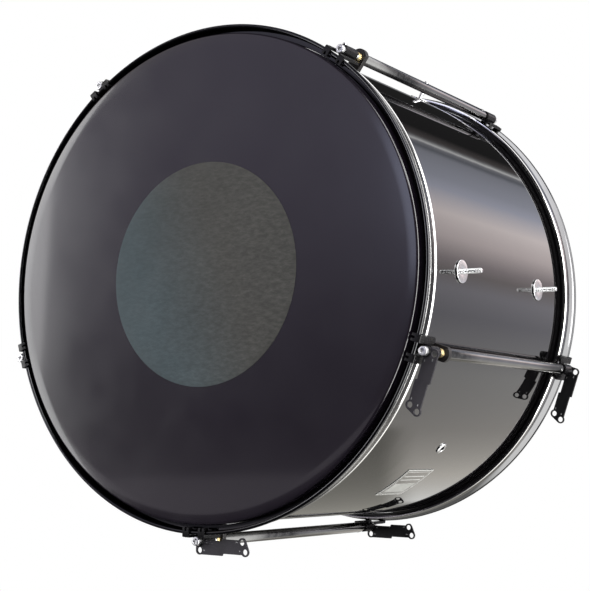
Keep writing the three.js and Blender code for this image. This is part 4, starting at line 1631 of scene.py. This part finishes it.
def vent_mesh(sizes, wall, gap):
    """Eyelet with a rolled flange, as high above the shell as its thickness."""
    inner = -wall - 2 * gap
    foot = inner - sizes.vent_inner_thickness
    hole = sizes.vent_hole / 2
    barrel = sizes.vent_barrel / 2
    rim = sizes.vent_flange / 2
    top = gap + sizes.vent_flange_thickness
    edge = sizes.vent_edge
    made = turned(rounded([
        (hole, foot, edge * 1.5),
        (sizes.vent_inner / 2, foot, edge * 2),
        (sizes.vent_inner / 2, inner, edge),
        (barrel, inner, 0),
        (barrel, gap, 0),
        (rim, gap, edge),
        (rim, gap + sizes.vent_flange_thickness / 2, edge * 2.5),
        (rim - sizes.vent_flange_thickness * 1.6, top, sizes.vent_roll),
        (hole, top, sizes.vent_mouth),
    ], steps=6), TUBE_STEPS * 2)
    smooth(made, math.radians(50))
    return made


def bent_strip(low, high, along, around, steps=24):
    """A thin plate bent round the shell. Along is [from, to] and around is [from, to] in arc length."""
    bm = bmesh.new()
    rows = []
    for step in range(steps + 1):
        turn = (around[0] + (around[1] - around[0]) * step / steps) / SHELL_RADIUS
        row = []
        for radius, y in ((low, along[0]), (high, along[0]), (high, along[1]), (low, along[1])):
            row.append(bm.verts.new((radius * math.cos(turn), y, radius * math.sin(turn))))
        rows.append(row)
    for first, second in zip(rows, rows[1:]):
        for index in range(4):
            following = (index + 1) % 4
            bm.faces.new([first[index], first[following], second[following], second[index]])
    bm.faces.new(rows[0])
    bm.faces.new(rows[-1])
    bmesh.ops.recalc_face_normals(bm, faces=bm.faces)
    return mesh_from(bm)


def centred(middle, half):
    """From and to, as far to either side of a middle."""
    return (middle - half, middle + half)


def plate_lines(sizes, low, high, rule_reach):
    """The name plate's inner frame and its two ruled lines, in one mesh."""
    middle = sizes.badge_shift
    width = sizes.frame_line / 2
    far_along = sizes.badge_length / 2 - sizes.frame_inset
    far_around = sizes.badge_arc / 2 - sizes.frame_inset
    strips = []
    for side in (-1, 1):
        along = sorted((side * far_along, side * (far_along - width)))
        strips.append(bent_strip(low, high, [middle + y for y in along], centred(0, far_around)))
        around = sorted((side * far_around, side * (far_around - width)))
        strips.append(bent_strip(low, high, centred(middle, far_along - width), around, steps=2))
    for rule in (1, 2):
        place = rule * sizes.rule_step
        around = (place, place + sizes.frame_line)
        strips.append(bent_strip(low, high, centred(middle, rule_reach), around, steps=4))
    return joined(strips)


class DRUM_OT_vent(bpy.types.Operator):
    """Fits the vent's eyelet and a dark sleeve in its hole, which is painted shade"""

    bl_idname = "drum.vent"
    bl_label = "Vent"

    def execute(self, context):
        sizes = context.scene.drum_trim
        gap = context.scene.drum_studs.gap
        wall = context.scene.drum_shell.wall
        bolts = context.scene.drum_bolts
        plated = plating_finish("vent_plating", bolts, bolts.polish_roughness)
        dark = plain_finish("vent_painted_shade", sizes.badge_colour, sizes.badge_roughness, Coat_Weight=1.0)
        seat = seat_frame(sizes.vent_angle, 0) @ Matrix.Rotation(QUARTER_TURN, 4, "X")
        eyelet = vent_mesh(sizes, wall, gap)
        piece("vent_eyelet_rolled", eyelet, seat, "drum", plated, "chrome_steel", "vent_eyelet")
        # A dark sleeve inside the hole: painted shade where the hole is dark
        hole = sizes.vent_hole / 2
        inside = hole - sizes.vent_painted_shade
        painted_shade_sleeve = turned([(inside, -wall), (hole, -wall), (hole, gap), (inside, gap)], TUBE_STEPS)
        piece("vent_eyelet_painted_shade", painted_shade_sleeve, seat, "drum", dark, "chrome_steel")
        return {"FINISHED"}


class DRUM_OT_name_plate(bpy.types.Operator):
    """Bends the bare name plate round the shell and lays its panel, lines and light field"""

    bl_idname = "drum.name_plate"
    bl_label = "Name plate"

    def execute(self, context):
        sizes = context.scene.drum_trim
        low = SHELL_RADIUS + context.scene.drum_studs.gap
        high = low + sizes.badge_thickness
        panel_top = high + sizes.frame_rise
        line_top = panel_top + sizes.frame_rise
        middle = sizes.badge_shift
        half_length = sizes.badge_length / 2
        half_arc = sizes.badge_arc / 2
        slab = bent_strip(low, high, centred(middle, half_length), centred(0, half_arc))
        slab = softened(slab, sizes.badge_thickness / 4)
        panel_along = centred(middle, half_length - sizes.frame_line)
        panel = bent_strip(high, panel_top, panel_along, centred(0, half_arc - sizes.frame_line))
        inside = half_length - 2 * sizes.frame_inset
        lines = plate_lines(sizes, panel_top, line_top, inside)
        field_around = (2 * sizes.frame_inset - half_arc, 0)
        field = bent_strip(panel_top, line_top, centred(middle, inside), field_around)
        dark = plain_finish("bare_plate", sizes.badge_colour, sizes.badge_roughness, Coat_Weight=1.0)
        line = plain_finish("frame_line", sizes.line_colour, sizes.line_roughness)
        light = plain_finish("light_field", sizes.field_colour, sizes.field_roughness)
        turn = Matrix.Rotation(-sizes.badge_angle, 4, "Y")
        piece("name_plate_bare", slab, turn, "drum", line, "plain_plate", "name_plate")
        piece("name_plate_panel", panel, turn, "drum", dark, "plain_plate")
        piece("name_plate_frame_line", lines, turn, "drum", line, "plain_plate")
        piece("name_plate_light_field", field, turn, "drum", light, "plain_plate")
        return {"FINISHED"}


# Stage

# Soft lamps that face the drum: place, width, height and power
SOFTBOXES = {
    "key_light": ((1.6, -1.8, 2.2), 1.6, 1.6, 42),
    "side_light": ((2.6, 0.8, 0.4), 1.2, 2.0, 26),
    "left_light": ((-2.442, -1.742, 0.2), 1.0, 1.8, 25),
}


def softbox(name, place, width, height, power):
    lamp = bpy.data.lights.new(name, "AREA")
    lamp.shape = "RECTANGLE"
    lamp.size = width
    lamp.size_y = height
    lamp.energy = power
    box = bpy.data.objects.new(name, lamp)
    inwards = -Vector(place)
    turn = inwards.to_track_quat("-Z", "Y").to_matrix().to_4x4()
    box.matrix_world = Matrix.Translation(place) @ turn
    bpy.context.scene.collection.objects.link(box)


def set_camera(stage):
    """The photograph's viewpoint."""
    cos_pitch = math.cos(stage.pitch)
    view = Vector((
        -math.sin(stage.yaw) * cos_pitch,
        math.cos(stage.yaw) * cos_pitch,
        math.sin(stage.pitch),
    ))
    right = view.cross(Vector((0, 0, 1))).normalized()
    up = right.cross(view)
    cos_roll, sin_roll = math.cos(stage.roll), math.sin(stage.roll)
    right, up = cos_roll * right + sin_roll * up, cos_roll * up - sin_roll * right
    turn = Matrix((right, up, -view)).transposed().to_4x4()
    lens = bpy.data.cameras.new("photo_view")
    lens.sensor_fit = "HORIZONTAL"
    lens.lens = stage.focal
    lens.shift_x, lens.shift_y = stage.shift
    camera = bpy.data.objects.new("photo_view", lens)
    camera.matrix_world = Matrix.Translation(stage.place) @ turn
    bpy.context.scene.collection.objects.link(camera)
    bpy.context.scene.camera = camera


# What a reflection meets in the studio, by its angle round the drum's axis in degrees, from +X
# towards +Z: on the rear wall, which the shell mirrors, and beside the drum
REAR_PANELS = (
    (-180, (0.10, 0.10, 0.10)),
    (-150, (0.15, 0.15, 0.15)),
    (-140, (0.80, 0.80, 0.78)),
    (-109, (0.83, 0.79, 0.72)),
    (-74, (0.67, 0.64, 0.60)),
    (-40, (0.70, 0.69, 0.68)),
    (-9, (0.48, 0.47, 0.52)),
    (5, (0.61, 0.59, 0.65)),
    (14, (0.50, 0.45, 0.45)),
    (20, (0.70, 0.61, 0.63)),
    (32, (1.42, 1.24, 1.23)),
    (45, (1.70, 1.52, 1.50)),
    (59, (0.82, 0.84, 1.00)),
    (66, (0.60, 0.62, 0.73)),
    (80, (0.38, 0.39, 0.45)),
    (83, (0.18, 0.19, 0.22)),
    (86, (0.29, 0.29, 0.32)),
    (87.3, (0.85, 0.85, 0.85)),
    (89, (0.19, 0.19, 0.20)),
    (91, (0.09, 0.08, 0.08)),
    (97, (0.015, 0.015, 0.015)),
    (140, (0.015, 0.015, 0.015)),
    (146, (0.30, 0.30, 0.31)),
    (176, (0.25, 0.25, 0.25)),
    (180, (0.10, 0.10, 0.10)),
)
SIDE_PANELS = (
    (-180, (0.05, 0.05, 0.05)),
    (-90, (0.25, 0.25, 0.24)),
    (-72, (1.60, 1.60, 1.55)),
    (-40, (1.80, 1.80, 1.75)),
    (20, (1.40, 1.38, 1.36)),
    (60, (1.90, 1.90, 1.90)),
    (98, (1.50, 1.50, 1.52)),
    (112, (0.06, 0.06, 0.06)),
    (180, (0.04, 0.04, 0.04)),
)
# Where the front's dark gives way to the sides and the sides to the rear wall, as the share of a
# direction that runs along the axis
FRONT_END = (0.02, 0.22)
REAR_WALL = (0.72, 0.78)
DARK_FRONT = (0.05, 0.05, 0.055)
# Zones laid over the panels: direction, inner and outer angle in degrees, and colour
WORLD_ZONES = (
    ((0, -1, 0), 58, 80, (0.040, 0.038, 0.045)),
    ((-0.58, -0.66, 0.48), 9, 32, (0.52, 0.50, 0.62)),
    ((-0.75, -0.42, 0.45), 5, 24, (0.75, 0.70, 0.67)),
    ((-0.41, -0.89, 0.19), 1.5, 6, (1.80, 1.90, 2.50)),
    ((0, 1, 0), 14, 20, (0.20, 0.20, 0.21)),
)
# Straight panels laid over those: angles round the axis, shares along it, softness and colour
STRAIGHT_PANELS = (
    ((-165, -74), (0.76, 0.868), (4, 0.008), (0.30, 0.29, 0.26)),
    ((-42, 45), (-0.34, 0.10), (3, 0.03), (9.0, 9.0, 8.8)),
    ((-60, 66), (0.76, 0.826), (6, 0.010), (0.12, 0.12, 0.13)),
    ((-177.2, -172.5), (-0.95, -0.68), (0.2, 0.03), (0.62, 0.58, 0.64)),
)


def panel_colours(shade, round_share, panels):
    """A colour ramp round the drum's axis. The panels run from -180 to 180 degrees."""
    made = shade.node("ShaderNodeValToRGB", Fac=round_share)
    stops = made.color_ramp.elements
    for degrees, light in panels[1:-1]:
        stops.new((degrees + 180) / 360).color = (*light, 1)
    stops[0].color = (*panels[0][1], 1)
    stops[-1].color = (*panels[-1][1], 1)
    return made.outputs["Color"]


def between(shade, value, span, soft):
    """One inside a span of values and zero outside it, with soft edges."""
    enters = shade.ramp(value, span[0] - soft, span[0] + soft, smoothly=True)
    leaves = shade.ramp(value, span[1] - soft, span[1] + soft, 1.0, 0.0, smoothly=True)
    return shade.maths("MULTIPLY", enters, leaves)


def set_world(stage):
    """White where it is seen, with panels that only reflections meet, and an even soft light."""
    world = bpy.data.worlds.new("studio")
    bpy.context.scene.world = world
    world.use_nodes = True
    world.node_tree.nodes.clear()
    shade = Shading(world.node_tree)
    where = shade.node("ShaderNodeTexCoord").outputs["Generated"]
    parts = shade.node("ShaderNodeSeparateXYZ", Vector=where).outputs
    turn = shade.maths("ARCTAN2", parts["Z"], parts["X"])
    round_share = shade.ramp(turn, -math.pi, math.pi)
    rear = panel_colours(shade, round_share, REAR_PANELS)
    beside = panel_colours(shade, round_share, SIDE_PANELS)
    past_front = shade.ramp(parts["Y"], *FRONT_END, smoothly=True)
    on_wall = shade.ramp(parts["Y"], *REAR_WALL, smoothly=True)
    seen_light = mixed_colour(shade, past_front, (*DARK_FRONT, 1), beside)
    seen_light = mixed_colour(shade, on_wall, seen_light, rear)
    for direction, inner, outer, light in WORLD_ZONES:
        facing = shade.node("ShaderNodeVectorMath", {"operation": "DOT_PRODUCT"})
        shade.feed(facing.inputs[0], where)
        facing.inputs[1].default_value = Vector(direction).normalized()
        low, high = math.cos(math.radians(outer)), math.cos(math.radians(inner))
        within = shade.ramp(facing.outputs["Value"], low, high, smoothly=True)
        seen_light = mixed_colour(shade, within, seen_light, (*light, 1))
    for turns, along, (soft_turn, soft_along), light in STRAIGHT_PANELS:
        turns = [math.radians(degrees) for degrees in turns]
        across = between(shade, turn, turns, math.radians(soft_turn))
        within = shade.maths("MULTIPLY", across, between(shade, parts["Y"], along, soft_along))
        seen_light = mixed_colour(shade, within, seen_light, (*light, 1))
    path = shade.node("ShaderNodeLightPath").outputs
    mirrored = shade.maths("MAXIMUM", path["Is Glossy Ray"], path["Is Transmission Ray"])
    even = shade.node("ShaderNodeBackground", Color=(1, 1, 1, 1), Strength=stage.world_light)
    plain_white = mixed_colour(shade, path["Is Camera Ray"], seen_light, (1, 1, 1, 1))
    seen = shade.node("ShaderNodeBackground", Color=plain_white, Strength=1.0)
    shown = shade.maths("MAXIMUM", path["Is Camera Ray"], mirrored)
    both = shade.node("ShaderNodeMixShader", Fac=shown)
    shade.feed(both.inputs[1], even.outputs[0])
    shade.feed(both.inputs[2], seen.outputs[0])
    out = shade.node("ShaderNodeOutputWorld")
    shade.feed(out.inputs["Surface"], both.outputs[0])


# Where the floor starts and ends to fade, as shares of its radius
FLOOR_FADE_SHARES = (0.45, 0.98)


def floor_finish(stage):
    """Pale and soft, fading out before its edge. It keeps the drum's shadow and stays out of mirrors."""
    made = bpy.data.materials.new("pale_floor")
    made.use_nodes = True
    shade = Shading(made.node_tree)
    shader = made.node_tree.nodes["Principled BSDF"]
    shader.inputs["Base Color"].default_value = stage.floor_colour
    shader.inputs["Roughness"].default_value = 0.9
    where = shade.node("ShaderNodeTexCoord").outputs["Object"]
    reach = shade.node("ShaderNodeVectorMath", {"operation": "LENGTH"})
    shade.feed(reach.inputs[0], where)
    fade = [stage.floor_radius * share_of_radius for share_of_radius in FLOOR_FADE_SHARES]
    far = shade.ramp(reach.outputs["Value"], *fade, smoothly=True)
    mirrored = shade.node("ShaderNodeLightPath").outputs["Is Glossy Ray"]
    clear = shade.node("ShaderNodeBsdfTransparent")
    both = shade.node("ShaderNodeMixShader", Fac=shade.maths("MAXIMUM", far, mirrored))
    shade.feed(both.inputs[1], shader.outputs[0])
    shade.feed(both.inputs[2], clear.outputs[0])
    out = made.node_tree.nodes["Material Output"]
    shade.feed(out.inputs["Surface"], both.outputs[0])
    return made


class DRUM_OT_stage(bpy.types.Operator):
    """Sets the pale floor, the soft light and the photograph's camera"""

    bl_idname = "drum.stage"
    bl_label = "Stage"

    def execute(self, context):
        stage = context.scene.drum_stage
        set_camera(stage)
        set_world(stage)
        bm = bmesh.new()
        bmesh.ops.create_circle(bm, cap_ends=True, radius=stage.floor_radius, segments=TUBE_STEPS * 2)
        mesh = mesh_from(bm, "floor")
        mesh.materials.append(floor_finish(stage))
        floor = bpy.data.objects.new("floor", mesh)
        floor.location = (0, 0, -stage.floor_depth)
        context.scene.collection.objects.link(floor)
        for name, lamp in SOFTBOXES.items():
            softbox(name, *lamp)
        return {"FINISHED"}


class DRUM_PT_pieces(bpy.types.Panel):
    """Lists the drum's pieces in the 3D view's sidebar"""

    bl_label = "Marching Bass Drum"
    bl_idname = "DRUM_PT_pieces"
    bl_space_type = "VIEW_3D"
    bl_region_type = "UI"
    bl_category = "Drum"

    def draw(self, context):
        for operator in OPERATORS:
            self.layout.operator(operator.bl_idname)


OPERATORS = (
    DRUM_OT_shell,
    DRUM_OT_heads,
    DRUM_OT_hoops,
    DRUM_OT_bolts,
    DRUM_OT_yokes,
    DRUM_OT_tubes,
    DRUM_OT_plates,
    DRUM_OT_studs,
    DRUM_OT_vent,
    DRUM_OT_name_plate,
    DRUM_OT_stage,
)


def register():
    for group in (*GROUPS.values(), *OPERATORS, DRUM_PT_pieces):
        bpy.utils.register_class(group)
    for name, group in GROUPS.items():
        setattr(bpy.types.Scene, name, bpy.props.PointerProperty(type=group))


def unregister():
    for name in GROUPS:
        delattr(bpy.types.Scene, name)
    for group in (DRUM_PT_pieces, *OPERATORS, *GROUPS.values()):
        bpy.utils.unregister_class(group)


def plain(bounds):
    return [[round(value, 6) for value in corner] for corner in bounds]


def main():
    register()
    bpy.context.scene.view_settings.view_transform = "Standard"
    bpy.ops.drum.shell()
    bpy.ops.drum.heads()
    bpy.ops.drum.hoops()
    bpy.ops.drum.bolts()
    bpy.ops.drum.yokes()
    bpy.ops.drum.tubes()
    bpy.ops.drum.plates()
    bpy.ops.drum.studs()
    bpy.ops.drum.vent()
    bpy.ops.drum.name_plate()
    bpy.ops.drum.stage()


if __name__ == "__main__":
    main()
